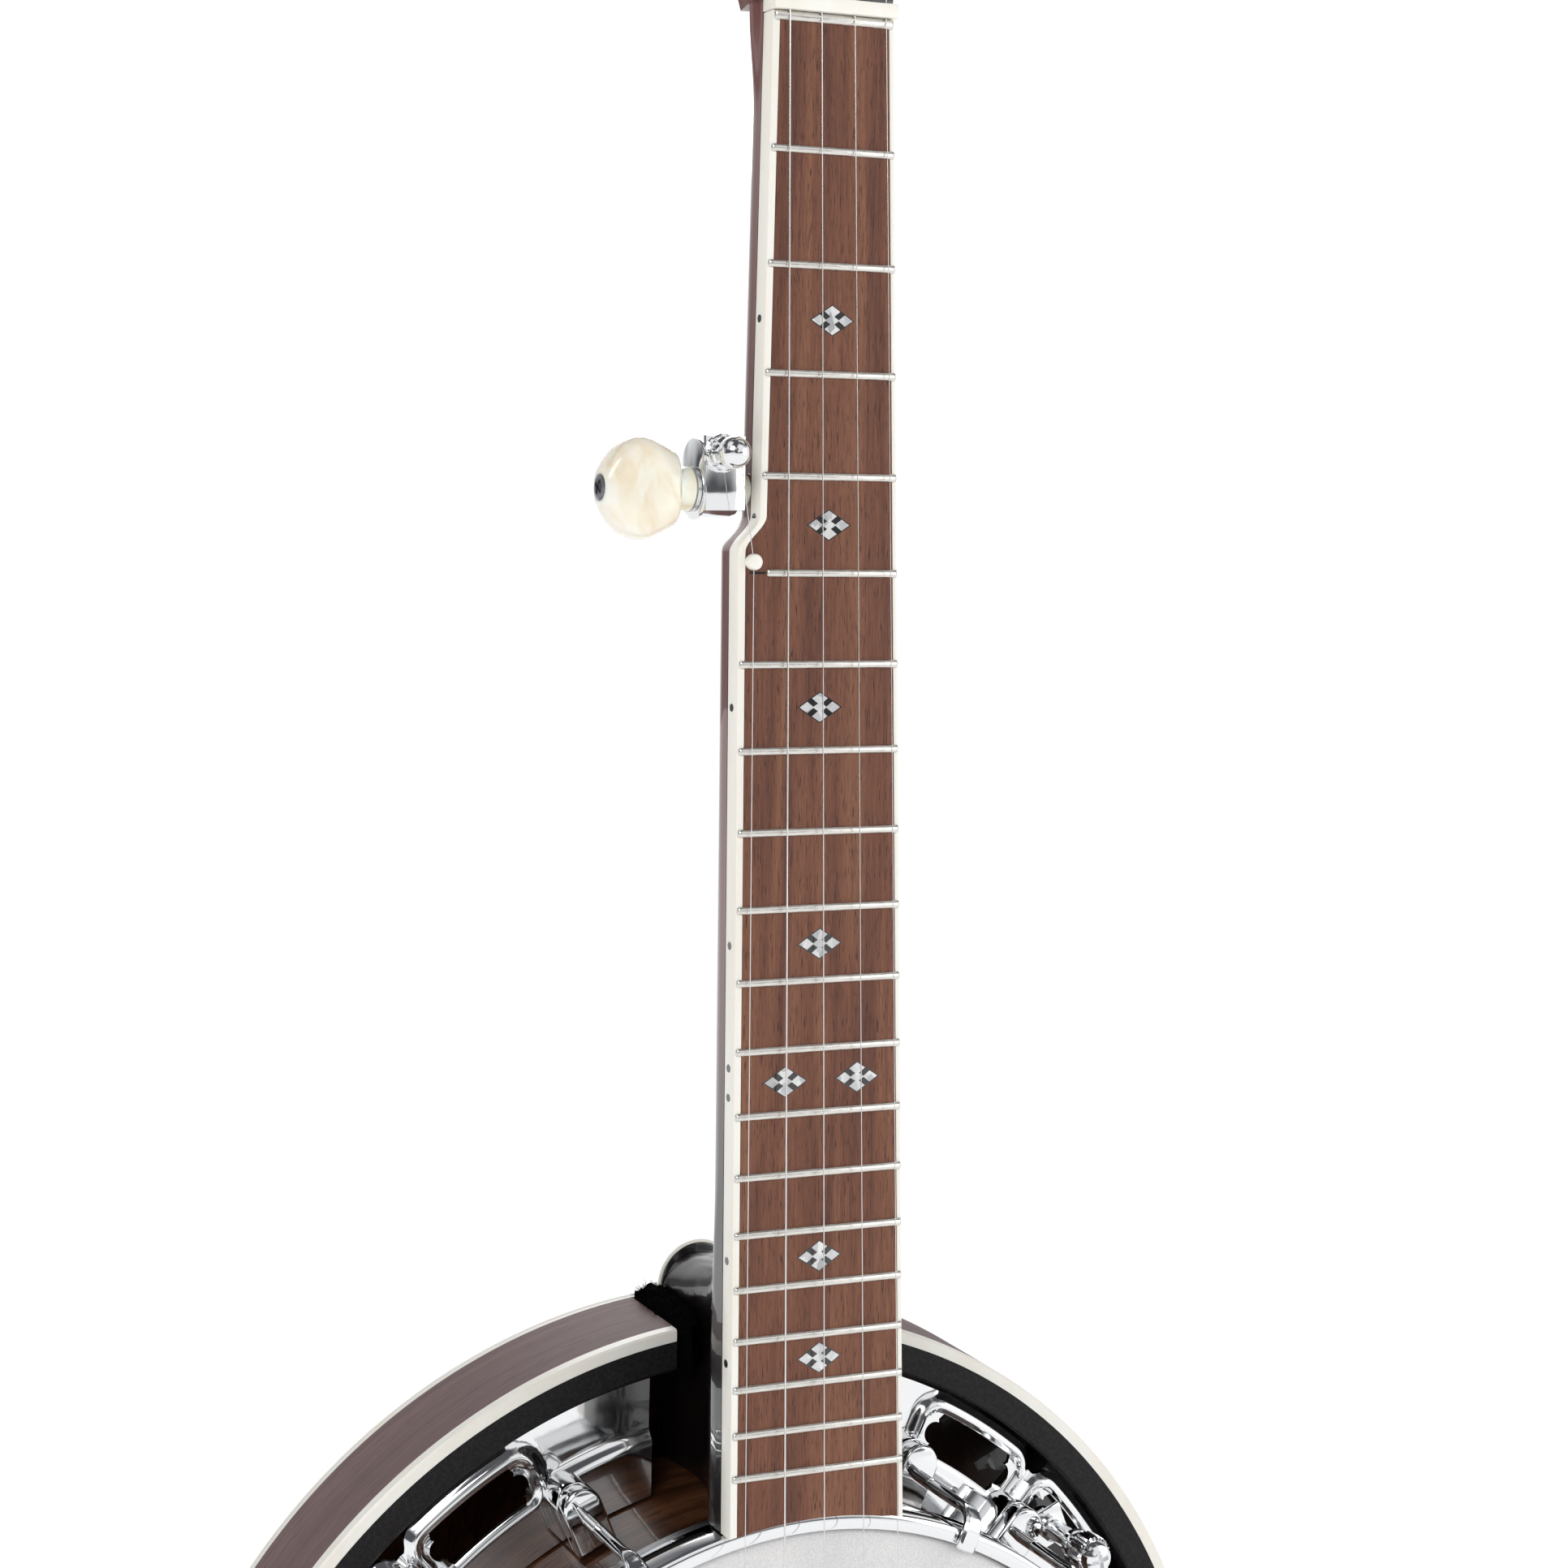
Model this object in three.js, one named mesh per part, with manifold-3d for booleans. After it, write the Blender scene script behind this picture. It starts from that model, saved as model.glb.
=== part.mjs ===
// Five-string banjo with a resonator, at real size.
//
// Units are millimetres. X points right, Y points to the back and Z points towards the headstock.
// The origin is the centre of the resonator's flat back, and the pot is round about the Y axis.
// Angles round the pot start at +Z, the neck's side, and grow towards +X.
//
// The neck, the headstock and every tuner have frames of their own, with x to the right,
// y into the wood from its front face and z along the wood towards its tip.

import * as THREE from 'three';
import { mergeVertices } from 'three/addons/utils/BufferGeometryUtils.js';
import Module from 'manifold-3d';

const wasm = await Module();
wasm.setup();

const radians = THREE.MathUtils.degToRad;
const lerp = THREE.MathUtils.lerp;

// ---------------------------------------------------------------- driving dimensions

const GLUE_GAP = 0.2; // between pieces that are glued or clamped together
const FACETS = 60; // facets round the pot

// Neck and fretboard, measured from the zero fret
const SCALE_LENGTH = 667;
const NECK_TILT = radians(1.6);
const BOARD_LENGTH = 461;
const BOARD_THICKNESS = 6.6;
const BOARD_FRONT_AT_POT = -108;
const ZERO_FRET_Z = 605.1; // where the fret spacing starts
const ZERO_FRET_AHEAD = 3; // the zero fret itself sits this far ahead of it
const ZERO_FRET_Y = BOARD_FRONT_AT_POT + BOARD_LENGTH * Math.sin(NECK_TILT);
const BASS_BINDING = 2.4;
const TREBLE_BINDING = 1.6;
const BASS_HALF_WIDTH_AT_NUT = 18.1;
const TREBLE_HALF_WIDTH_AT_NUT = 19.8;
const BASS_HALF_WIDTH_AT_STEP = 20.8;
const HALF_WIDTH_BELOW_STEP = 27.9;
const TREBLE_HALF_WIDTH_AT_POT = 29;
const BASS_HALF_WIDTH_AT_POT = 27.3;
const STEP_START = 150;
const STEP_END = 161;
const NECK_DEPTH_AT_NUT = 21;
const NECK_DEPTH_AT_POT = 26;
const BOARD_START = ZERO_FRET_AHEAD + 1.5;
const NUT_END = BOARD_START + 4.7;
const NUT_OVERHANG = 0.5;
const NECK_FLARE = 2.6; // how much wider the neck gets where it meets the headstock
const FLARE_LENGTH = 26;
const OVERRUN = 12; // material past the board's end that the pot then cuts away

// Strings: x at the zero fret or pip, x at the bridge, x at the tailpiece and radius
const STRINGS = [
  { number: 1, start: 18, bridge: 29.8, tail: 12, radius: 0.14 },
  { number: 2, start: 7, bridge: 17.3, tail: 6, radius: 0.16 },
  { number: 3, start: -4.5, bridge: 2.5, tail: 0, radius: 0.2 },
  { number: 4, start: -15.5, bridge: -12.4, tail: -6, radius: 0.26 },
  { number: 5, start: -26, bridge: -27, tail: -12, radius: 0.14 },
];
const FRET_HEIGHT = 1.2;
const PIP_Z = -164;
const PIP_HEIGHT = 2.9;
const PIP_RADIUS = 2.4;
const PIP_SLOT_HEIGHT = 1.5;

// Pot
const RIM_RADIUS = 138;
const RIM_INNER = 118.5;
const RIM_FRONT = -88;
const RIM_BACK = -24;
const HEAD_FRONT = -102.9;
const HEAD_THICKNESS = 0.5;
const HOOP_INNER = 139.3;
const HOOP_OUTER = 144.6;
const HOOP_FRONT = -104;
const HOOP_BACK = -92;
const FLANGE_INNER = 138.8;
const FLANGE_OUTER = 176;
const FLANGE_FRONT = -50;
const FLANGE_THICKNESS = 2;
const FLANGE_NOTCH = 30; // half the opening for the neck
const SLOTS_PER_SIDE = 8; // besides the one opposite the neck
const SLOT_FIRST = 33.4;
const SLOT_PITCH = 18.325;
const SLOT_HALF_SPAN = 7.25;
const SLOT_INNER = 155.5;
const SLOT_OUTER = 170;

// Resonator
const RESONATOR_RADIUS = 191;
const RESONATOR_FRONT = -52;
const BACK_BORDER_DEPTH = 11;
const BACK_FLAT_RADIUS = 100;
const BACK_THICKNESS = 5;
const EDGE_BINDING = 4;
const WALL_BACK = -16;
const WALL_INNER = 184;
const LIP_INNER = 177.5;
const LUG_FRONT = -46;
const LUG_BACK = -30;
const NOTCH_HALF_WIDTH = 22;
const SCREW_RADIUS_ON_POT = 161;
const SCREW_ANGLES = [47.5, 129.3, 230.7, 312.5];

// Headstock and tuners
const HEADSTOCK_TILT = radians(13);
const HEADSTOCK_START = NUT_END + 1;
const HEADSTOCK_DROP = 3;
const OVERLAY_THICKNESS = 1.8;
const HEADSTOCK_BACK = 15.5;
const POST_X = 25;
const POST_Z = { lower: 52, upper: 112 };
const POST_RADIUS = 3.1;
const POST_FRONT = 14; // how far a post stands out of the headstock
const WORM_OFFSET = 10.8; // from the post's axis to the knob's axis
const FIFTH_POST = { x: -34.8, y: 3, z: -131 };

// Bridge, tailpiece and armrest
const BRIDGE_Z = ZERO_FRET_Z - SCALE_LENGTH * Math.cos(NECK_TILT);
const BRIDGE_TOP = -119.3;
const TAIL_HINGE_Y = -113.6;
const TAIL_HINGE_Z = -150.6;
const TAIL_BOLT_Y = -70;
const TAIL_BOLT_RADIUS = 3;
const ARMREST = { inner: 140, outer: 157, from: -150, to: -105, front: -118, thickness: 1.6 };
const ARMREST_LEGS = [-115.5, -133.9];

// ---------------------------------------------------------------- materials

const finish = (color, roughness, metalness) => ({ color, roughness, metalness });
const MATERIALS = {
  neckWood: finish(0x2a1c1c, 0.18, 0),
  boardWood: finish(0x7a4a38, 0.5, 0),
  rimWood: finish(0x5a3420, 0.2, 0),
  resonatorWood: finish(0x4a3230, 0.3, 0),
  backWood: finish(0x53302a, 0.2, 0),
  ivory: finish(0xf0ebdc, 0.35, 0),
  blackLacquer: finish(0x0c0b0c, 0.15, 0),
  cream: finish(0xf5edd6, 0.25, 0),
  chrome: finish(0xd8dadc, 0.08, 1),
  nickelSilver: finish(0xc9c5bd, 0.25, 1),
  steel: finish(0x9a9c9e, 0.35, 1),
  bellBrass: finish(0xb9a46a, 0.3, 1),
  aluminium: finish(0xb8babc, 0.4, 1),
  mylar: finish(0xdcdddf, 0.7, 0),
  felt: finish(0x0a0a0a, 1, 0),
  maple: finish(0xd9b98a, 0.5, 0),
  ebony: finish(0x1a1512, 0.4, 0),
};

// ---------------------------------------------------------------- solids

// A geometry as a boolean solid: shared vertices merged, collapsed triangles left out.
function toSolid(geometry) {
  const bare = geometry.clone();
  bare.deleteAttribute('normal');
  bare.deleteAttribute('uv');
  const merged = mergeVertices(bare, 1e-4);
  const corners = merged.index.array;
  const kept = [];
  for (let i = 0; i < corners.length; i += 3) {
    const [a, b, c] = [corners[i], corners[i + 1], corners[i + 2]];
    if (a !== b && b !== c && c !== a) {
      kept.push(a, b, c);
    }
  }
  return new wasm.Manifold(new wasm.Mesh({
    numProp: 3,
    vertProperties: merged.attributes.position.array,
    triVerts: new Uint32Array(kept),
  }));
}

function toGeometry(solid) {
  const mesh = solid.getMesh();
  const geometry = new THREE.BufferGeometry();
  geometry.setAttribute('position', new THREE.BufferAttribute(mesh.vertProperties, 3));
  geometry.setIndex(new THREE.BufferAttribute(mesh.triVerts, 1));
  geometry.computeVertexNormals();
  return geometry;
}

const join = (...pieces) => toGeometry(pieces.map(toSolid).reduce((a, b) => a.add(b)));
const cut = (body, ...tools) =>
  toGeometry(tools.map(toSolid).reduce((a, b) => a.subtract(b), toSolid(body)));

const pointsOf = (pairs) => pairs.map(([x, y]) => new THREE.Vector2(x, y));

// A box between two corners.
function block(low, high) {
  const size = high.map((value, axis) => value - low[axis]);
  const middle = high.map((value, axis) => (value + low[axis]) / 2);
  return new THREE.BoxGeometry(...size).translate(...middle);
}

// A body turned about the Y axis from an outline of [radius, y] pairs in either direction.
// A ring's outline closes on itself, and a full body's outline starts and ends on the axis.
function turned(pairs, facets = FACETS) {
  const onAxis = pairs[0][0] === 0;
  const outline = onAxis ? pairs : [...pairs, pairs[0]];
  const area = outline.slice(1).reduce((sum, [r, y], i) => {
    const [lastR, lastY] = outline[i];
    return sum + lastR * y - r * lastY;
  }, 0);
  const ordered = area < 0 ? [...outline].reverse() : outline;
  return new THREE.LatheGeometry(pointsOf(ordered), facets);
}

const band = (inner, outer, front, back) =>
  turned([[inner, front], [outer, front], [outer, back], [inner, back]]);

// A round bar along Y, X or Z between two positions on that axis.
const barY = (radius, from, to, facets = 12) =>
  new THREE.CylinderGeometry(radius, radius, to - from, facets).translate(0, (from + to) / 2, 0);
const barX = (radius, from, to, facets) => barY(radius, from, to, facets).rotateZ(-Math.PI / 2);
const barZ = (radius, from, to, facets) => barY(radius, from, to, facets).rotateX(Math.PI / 2);
const turnedToSide = (geometry, side) => geometry.rotateZ(side < 0 ? Math.PI : 0);

// A flat plate whose outline lies in the X-Z plane, between two y positions.
const plate = (outline, front, back) =>
  new THREE.ExtrudeGeometry(new THREE.Shape(outline), { depth: back - front, bevelEnabled: false })
    .rotateX(Math.PI / 2)
    .translate(0, back, 0);

// A prism whose outline lies in the X-Y plane, between two z positions.
const prism = (outline, from, to) =>
  new THREE.ExtrudeGeometry(new THREE.Shape(outline), { depth: to - from, bevelEnabled: false })
    .translate(0, 0, from);

// Points of an arc round the pot's axis, in the X-Z plane, with angles in degrees from +Z.
function arc(radius, from, to, steps) {
  return Array.from({ length: steps + 1 }, (_, i) => {
    const angle = radians(lerp(from, to, i / steps));
    return new THREE.Vector2(radius * Math.sin(angle), radius * Math.cos(angle));
  });
}

const sector = (inner, outer, from, to, steps) =>
  [...arc(outer, from, to, steps), ...arc(inner, to, from, steps)];

// A closed body through a row of rings that all have the same number of points.
function loft(rings) {
  const count = rings[0].length;
  const centres = [rings[0], rings[rings.length - 1]].map((ring) =>
    ring.reduce((sum, p) => sum.add(p), new THREE.Vector3()).divideScalar(count));
  const vertices = [...rings.flat(), ...centres];
  const [firstCentre, lastCentre] = [vertices.length - 2, vertices.length - 1];
  const lastRing = (rings.length - 1) * count;
  const index = [];
  for (let j = 0; j < count; j += 1) {
    const next = (j + 1) % count;
    for (let start = 0; start < lastRing; start += count) {
      const [a, b] = [start + j, start + next];
      index.push(a, b, b + count, a, b + count, a + count);
    }
    index.push(firstCentre, next, j);
    index.push(lastCentre, lastRing + j, lastRing + next);
  }
  const geometry = new THREE.BufferGeometry().setFromPoints(vertices);
  geometry.setIndex(index);
  if (volume(geometry) < 0) {
    geometry.setIndex(index.reverse());
  }
  geometry.computeVertexNormals();
  return geometry;
}

function volume(geometry) {
  const position = geometry.attributes.position;
  const index = geometry.index.array;
  const [a, b, c] = [new THREE.Vector3(), new THREE.Vector3(), new THREE.Vector3()];
  let total = 0;
  for (let i = 0; i < index.length; i += 3) {
    a.fromBufferAttribute(position, index[i]);
    b.fromBufferAttribute(position, index[i + 1]);
    c.fromBufferAttribute(position, index[i + 2]);
    total += a.dot(b.cross(c)) / 6;
  }
  return total;
}

// A round wire through a row of points.
function wire(points, radius) {
  const sides = 6;
  const rings = points.map((point, i) => {
    const before = points[Math.max(i - 1, 0)];
    const after = points[Math.min(i + 1, points.length - 1)];
    const along = after.clone().sub(before).normalize();
    const across = new THREE.Vector3(1, 0, 0).cross(along).normalize();
    const up = along.clone().cross(across);
    return Array.from({ length: sides }, (_, j) => {
      const turn = (2 * Math.PI * j) / sides;
      return point.clone()
        .addScaledVector(across, radius * Math.cos(turn))
        .addScaledVector(up, radius * Math.sin(turn));
    });
  });
  return loft(rings);
}

// ---------------------------------------------------------------- frames

const banjo = new THREE.Group();
const neckFrame = new THREE.Group();
neckFrame.position.set(0, ZERO_FRET_Y, ZERO_FRET_Z);
neckFrame.rotation.x = -NECK_TILT;
const headstockFrame = new THREE.Group();
headstockFrame.position.set(0, HEADSTOCK_DROP, HEADSTOCK_START);
headstockFrame.rotation.x = -HEADSTOCK_TILT;
neckFrame.add(headstockFrame);
banjo.add(neckFrame);
banjo.updateMatrixWorld(true);

const intoNeck = (geometry) => geometry.applyMatrix4(neckFrame.matrixWorld.clone().invert());
const fromNeck = (x, y, z) => new THREE.Vector3(x, y, z).applyMatrix4(neckFrame.matrixWorld);
const fromHeadstock = (x, y, z) =>
  new THREE.Vector3(x, y, z).applyMatrix4(headstockFrame.matrixWorld);

function add(name, geometry, material, frame = banjo) {
  const mesh = new THREE.Mesh(geometry, new THREE.MeshStandardMaterial(MATERIALS[material]));
  mesh.name = name;
  frame.add(mesh);
  return mesh;
}

// ---------------------------------------------------------------- fretboard outline

// Half widths of the board's wood at a distance from the zero fret, without the binding.
function trebleHalfWidth(distance) {
  return lerp(TREBLE_HALF_WIDTH_AT_NUT, TREBLE_HALF_WIDTH_AT_POT, distance / BOARD_LENGTH);
}

// The bass side steps out below the fourth fret, where the fifth string starts.
function bassHalfWidth(distance) {
  const above = lerp(BASS_HALF_WIDTH_AT_NUT, BASS_HALF_WIDTH_AT_STEP, distance / STEP_START);
  const below = lerp(
    HALF_WIDTH_BELOW_STEP,
    BASS_HALF_WIDTH_AT_POT,
    (distance - STEP_END) / (BOARD_LENGTH - STEP_END),
  );
  return lerp(above, below, THREE.MathUtils.smoothstep(distance, STEP_START, STEP_END));
}

// Distances at which the board's outline needs a point.
const STEP_POINTS = 6;
const OUTLINE_STATIONS = [
  -BOARD_START,
  ...Array.from(
    { length: STEP_POINTS + 1 },
    (_, i) => lerp(STEP_START, STEP_END, i / STEP_POINTS),
  ),
  BOARD_LENGTH + OVERRUN,
];

// One side of the board in the neck's X-Z plane, a margin outside the wood.
const boardEdge = (side, margin) => OUTLINE_STATIONS.map((distance) => {
  const half = side < 0 ? bassHalfWidth(distance) : trebleHalfWidth(distance);
  return new THREE.Vector2(side * (half + margin), -distance);
});

// The cylinder of the tension hoop's outside, which the board, bindings and neck stop against.
const potClearance = (radius, front, back) =>
  intoNeck(barY(radius, front, back, FACETS));
const hoopSpace = () => potClearance(HOOP_OUTER + 0.7, -140, -86.6);
const rimSpace = () => potClearance(RIM_RADIUS + 0.45, -140, 10);

function addFretboard() {
  const outline = [...boardEdge(-1, -GLUE_GAP), ...boardEdge(1, -GLUE_GAP).reverse()];
  add('fretboard', cut(plate(outline, 0, BOARD_THICKNESS), hoopSpace()), 'boardWood', neckFrame);
  const strips = [['binding_bass', -1, BASS_BINDING], ['binding_treble', 1, TREBLE_BINDING]];
  for (const [name, side, width] of strips) {
    const strip = [...boardEdge(side, 0), ...boardEdge(side, width).reverse()];
    add(name, cut(plate(strip, 0, BOARD_THICKNESS), hoopSpace()), 'ivory', neckFrame);
  }
}

// ---------------------------------------------------------------- neck

// Cross-section of the neck's shaft: flat under the board, short straight sides, a round back.
function shaftSection(distance) {
  const top = BOARD_THICKNESS + GLUE_GAP;
  const side = 2.5;
  const depth = lerp(NECK_DEPTH_AT_NUT, NECK_DEPTH_AT_POT, distance / BOARD_LENGTH);
  const flare = NECK_FLARE
    * (1 - THREE.MathUtils.smoothstep(distance, -HEADSTOCK_START, FLARE_LENGTH));
  const bass = bassHalfWidth(distance) + BASS_BINDING + flare;
  const treble = trebleHalfWidth(distance) + TREBLE_BINDING + flare;
  const steps = 12;
  const back = Array.from({ length: steps + 1 }, (_, i) => {
    const turn = (Math.PI * i) / steps;
    const across = -Math.cos(turn);
    const x = across < 0 ? across * bass : across * treble;
    const y = top + side + (depth - top - side) * Math.sin(turn) ** 0.8;
    return new THREE.Vector3(x, y, -distance);
  });
  const [bassEdge, trebleEdge] = [-bass, treble].map((x) => new THREE.Vector3(x, top, -distance));
  return [bassEdge, ...back, trebleEdge];
}

// Slices of the heel from under the board to the heel cap: y, half width, z of its rounded tip
// and length of the rounding.
const HEEL_SLICES = [
  [-97.6, 25.5, 262, 80],
  [-90, 23.2, 260, 76],
  [-84, 21, 254, 66],
  [-78, 19.3, 243, 52],
  [-70, 16.8, 230, 36],
  [-60, 13.5, 219, 22],
  [-52, 11.2, 214, 15],
  [-42, 11.3, 211, 13],
  [-32, 12.5, 209, 13],
  [-22.2, 13.8, 208, 14],
];

// Outline of one heel slice, open towards the pot: straight sides, then a half ellipse.
function heelOutline(halfWidth, tip, rounding) {
  const steps = 10;
  const start = 128; // inside the rim, which cuts the heel to its own curve
  const tipArc = Array.from({ length: steps + 1 }, (_, i) => {
    const turn = (Math.PI * i) / steps;
    return [-halfWidth * Math.cos(turn), tip - rounding + rounding * Math.sin(turn)];
  });
  return [[-halfWidth, start], ...tipArc, [halfWidth, start]];
}

function heel() {
  return intoNeck(loft(HEEL_SLICES.map(([y, halfWidth, tip, rounding]) =>
    heelOutline(halfWidth, tip, rounding).map(([x, z]) => new THREE.Vector3(x, y, z)))));
}

// Outline of the headstock in its own X-Z plane: a flared foot, a slight waist and a dipped top.
function headstockOutline() {
  const shape = new THREE.Shape();
  shape.moveTo(-23, 0);
  shape.bezierCurveTo(-24, 12, -33, 16, -33, 34);
  shape.bezierCurveTo(-33, 60, -30.5, 80, -31, 100);
  shape.bezierCurveTo(-31.5, 130, -37, 140, -34, 158);
  shape.bezierCurveTo(-31, 172, -12, 172, 0, 166);
  shape.bezierCurveTo(12, 172, 31, 172, 34, 158);
  shape.bezierCurveTo(37, 140, 31.5, 130, 31, 100);
  shape.bezierCurveTo(30.5, 80, 33, 60, 33, 34);
  shape.bezierCurveTo(33, 16, 24, 12, 23, 0);
  return shape.extractPoints(5).shape;
}

// The four places where the headstock tuners' posts pass through, in the headstock's frame.
const HEADSTOCK_POSTS = [
  { number: 1, side: 1, z: POST_Z.lower },
  { number: 2, side: 1, z: POST_Z.upper },
  { number: 3, side: -1, z: POST_Z.upper },
  { number: 4, side: -1, z: POST_Z.lower },
];

function postHoles() {
  const holeRadius = POST_RADIUS + 1.6;
  return HEADSTOCK_POSTS.map(({ side, z }) =>
    barY(holeRadius, -1, HEADSTOCK_BACK + 1, 16).translate(side * POST_X, 0, z));
}

// The rod's channel lies under the fretboard and opens at the headstock, where its nut is reached.
const CHANNEL = { halfWidth: 4.2, bottom: 13.6, from: -430, to: HEADSTOCK_START + 14 };

function trussChannel() {
  const { halfWidth, bottom, from, to } = CHANNEL;
  return block([-halfWidth, -1, from], [halfWidth, bottom, to]);
}

function addNeck() {
  const shaftStations = [-HEADSTOCK_START, 0, 13, FLARE_LENGTH, 75, ...OUTLINE_STATIONS.slice(1, -1), 260, 360,
    BOARD_LENGTH + OVERRUN];
  const shaft = loft(shaftStations.map(shaftSection));
  const slabFront = OVERLAY_THICKNESS + GLUE_GAP;
  const slab = cut(plate(headstockOutline(), slabFront, HEADSTOCK_BACK), ...postHoles());
  slab.applyMatrix4(headstockFrame.matrix);
  const body = join(shaft, heel(), slab);
  add('neck', cut(body, hoopSpace(), rimSpace(), trussChannel()), 'neckWood', neckFrame);

  const [, capHalfWidth, capTip, capRounding] = HEEL_SLICES[HEEL_SLICES.length - 1];
  const capFront = HEEL_SLICES[HEEL_SLICES.length - 1][0] + GLUE_GAP;
  const cap = plate(pointsOf(heelOutline(capHalfWidth, capTip, capRounding)), capFront, -19);
  add('heel_cap', cut(cap, barY(RIM_RADIUS + 0.45, -140, 10, FACETS)), 'ivory');

  const rod = barZ(2.8, CHANNEL.from + 2, CHANNEL.to - 7, 10);
  const nut = barZ(3.9, CHANNEL.to - 13, CHANNEL.to - 6, 6);
  add('truss_rod', join(rod, nut).translate(0, 9.4, 0), 'steel', neckFrame);
}

function addHeadstockPieces() {
  const pocket = block([-CHANNEL.halfWidth, -1, -1], [CHANNEL.halfWidth, 3, 15]);
  const overlay = plate(headstockOutline(), 0, OVERLAY_THICKNESS).translate(0, 0, 0.4);
  add('headstock_overlay', cut(overlay, pocket, ...postHoles()), 'blackLacquer', headstockFrame);
  const bell = new THREE.Shape();
  bell.moveTo(-10, 1);
  bell.bezierCurveTo(-10, 14, -5, 16, -4, 30);
  bell.bezierCurveTo(-3, 35, 3, 35, 4, 30);
  bell.bezierCurveTo(5, 16, 10, 14, 10, 1);
  const cover = plate(bell.extractPoints(5).shape, -1.8, -GLUE_GAP);
  add('truss_rod_cover', cover, 'blackLacquer', headstockFrame);
}

function addNutAndZeroFret() {
  const bass = -BASS_HALF_WIDTH_AT_NUT - BASS_BINDING;
  const treble = TREBLE_HALF_WIDTH_AT_NUT + TREBLE_BINDING;
  const slots = STRINGS.slice(0, 4).map(({ start }) =>
    block([start - 0.7, -4, 0], [start + 0.7, -0.3, NUT_END + 3]));
  const nut = block(
    [bass - NUT_OVERHANG, -2.2, BOARD_START + GLUE_GAP],
    [treble + NUT_OVERHANG, BOARD_THICKNESS - 0.4, NUT_END],
  );
  add('nut', cut(nut, ...slots), 'ivory', neckFrame);
  const crownSteps = 5;
  const crown = Array.from({ length: crownSteps + 1 }, (_, i) => {
    const turn = (Math.PI * i) / crownSteps;
    return new THREE.Vector2(1.3 * Math.cos(turn), -0.1 - (FRET_HEIGHT - 0.1) * Math.sin(turn));
  });
  const fret = prism(crown, bass + 0.3, treble - 0.3).rotateY(Math.PI / 2);
  add('zero_fret', fret.translate(0, 0, ZERO_FRET_AHEAD), 'nickelSilver', neckFrame);
}

function addFifthStringPip() {
  const pip = turned([
    [0, -PIP_HEIGHT], [PIP_RADIUS - 0.9, -PIP_HEIGHT], [PIP_RADIUS, -PIP_HEIGHT + 0.8],
    [PIP_RADIUS, -0.1], [0, -0.1],
  ], 12);
  const slot = block([-0.6, -PIP_HEIGHT - 1, -4], [0.6, -PIP_SLOT_HEIGHT, 4]);
  const mesh = add('fifth_string_pip', cut(pip, slot), 'ivory', neckFrame);
  mesh.position.set(STRINGS[4].start, 0, PIP_Z);
}

// ---------------------------------------------------------------- strings

// Where a string leaves its post and crosses the zero fret or, for the fifth, the pip.
function upperPoints({ number, start }, rest) {
  const wrap = POST_RADIUS + rest;
  if (number === 5) {
    const x = FIFTH_POST.x + wrap;
    return [
      fromNeck(x, -4, FIFTH_POST.z + 2),
      fromNeck(x, -4, FIFTH_POST.z),
      fromNeck(start, -PIP_SLOT_HEIGHT - rest, PIP_Z),
    ];
  }
  const { side, z } = HEADSTOCK_POSTS.find((place) => place.number === number);
  const x = side * (POST_X - wrap);
  return [
    fromHeadstock(x, -6, z + 2),
    fromHeadstock(x, -6, z),
    fromNeck(start, -FRET_HEIGHT - rest + 0.25, ZERO_FRET_AHEAD + 4),
    fromNeck(start, -FRET_HEIGHT - rest, ZERO_FRET_AHEAD),
  ];
}

// A string runs from its post over the zero fret or the pip and the bridge into the tailpiece.
function addStrings() {
  for (const string of STRINGS) {
    const { number, bridge, tail, radius } = string;
    const rest = radius + 0.08;
    add(`string_${number}`, wire([
      ...upperPoints(string, rest),
      new THREE.Vector3(bridge, BRIDGE_TOP - rest, BRIDGE_Z),
      new THREE.Vector3(tail, TAIL_HINGE_Y, -109),
      new THREE.Vector3(tail, TAIL_HINGE_Y, -138),
    ], radius), 'steel');
  }
}

// ---------------------------------------------------------------- pot

function addPot() {
  const boltHole = barZ(TAIL_BOLT_RADIUS + 0.4, -(RIM_RADIUS + 4), -(RIM_INNER - 4))
    .translate(0, TAIL_BOLT_Y, 0);
  add('rim', cut(band(RIM_INNER, RIM_RADIUS, RIM_FRONT, RIM_BACK), boltHole), 'rimWood');
  add('tone_ring', turned([
    [120, RIM_FRONT - GLUE_GAP], [138, RIM_FRONT - GLUE_GAP], [138, -100.5],
    [136.8, -102.2], [134, -102.2], [132, -99], [120, -93],
  ]), 'bellBrass');
  const inside = HEAD_FRONT + HEAD_THICKNESS;
  add('head', turned([
    [0, HEAD_FRONT], [137.4, HEAD_FRONT], [138.9, -101.4], [138.9, RIM_FRONT],
    [138.3, RIM_FRONT], [138.3, -101.2], [137.2, inside], [0, inside],
  ]), 'mylar');
  add('flesh_hoop', band(139.2, 143.4, HOOP_BACK + GLUE_GAP, -87), 'aluminium');
  add('tension_hoop', turned([
    [HOOP_INNER, HOOP_FRONT + 0.8], [HOOP_INNER + 0.8, HOOP_FRONT], [HOOP_OUTER - 0.8, HOOP_FRONT],
    [HOOP_OUTER, HOOP_FRONT + 0.8], [HOOP_OUTER, HOOP_BACK], [HOOP_INNER, HOOP_BACK],
  ]), 'chrome');
}

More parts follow.
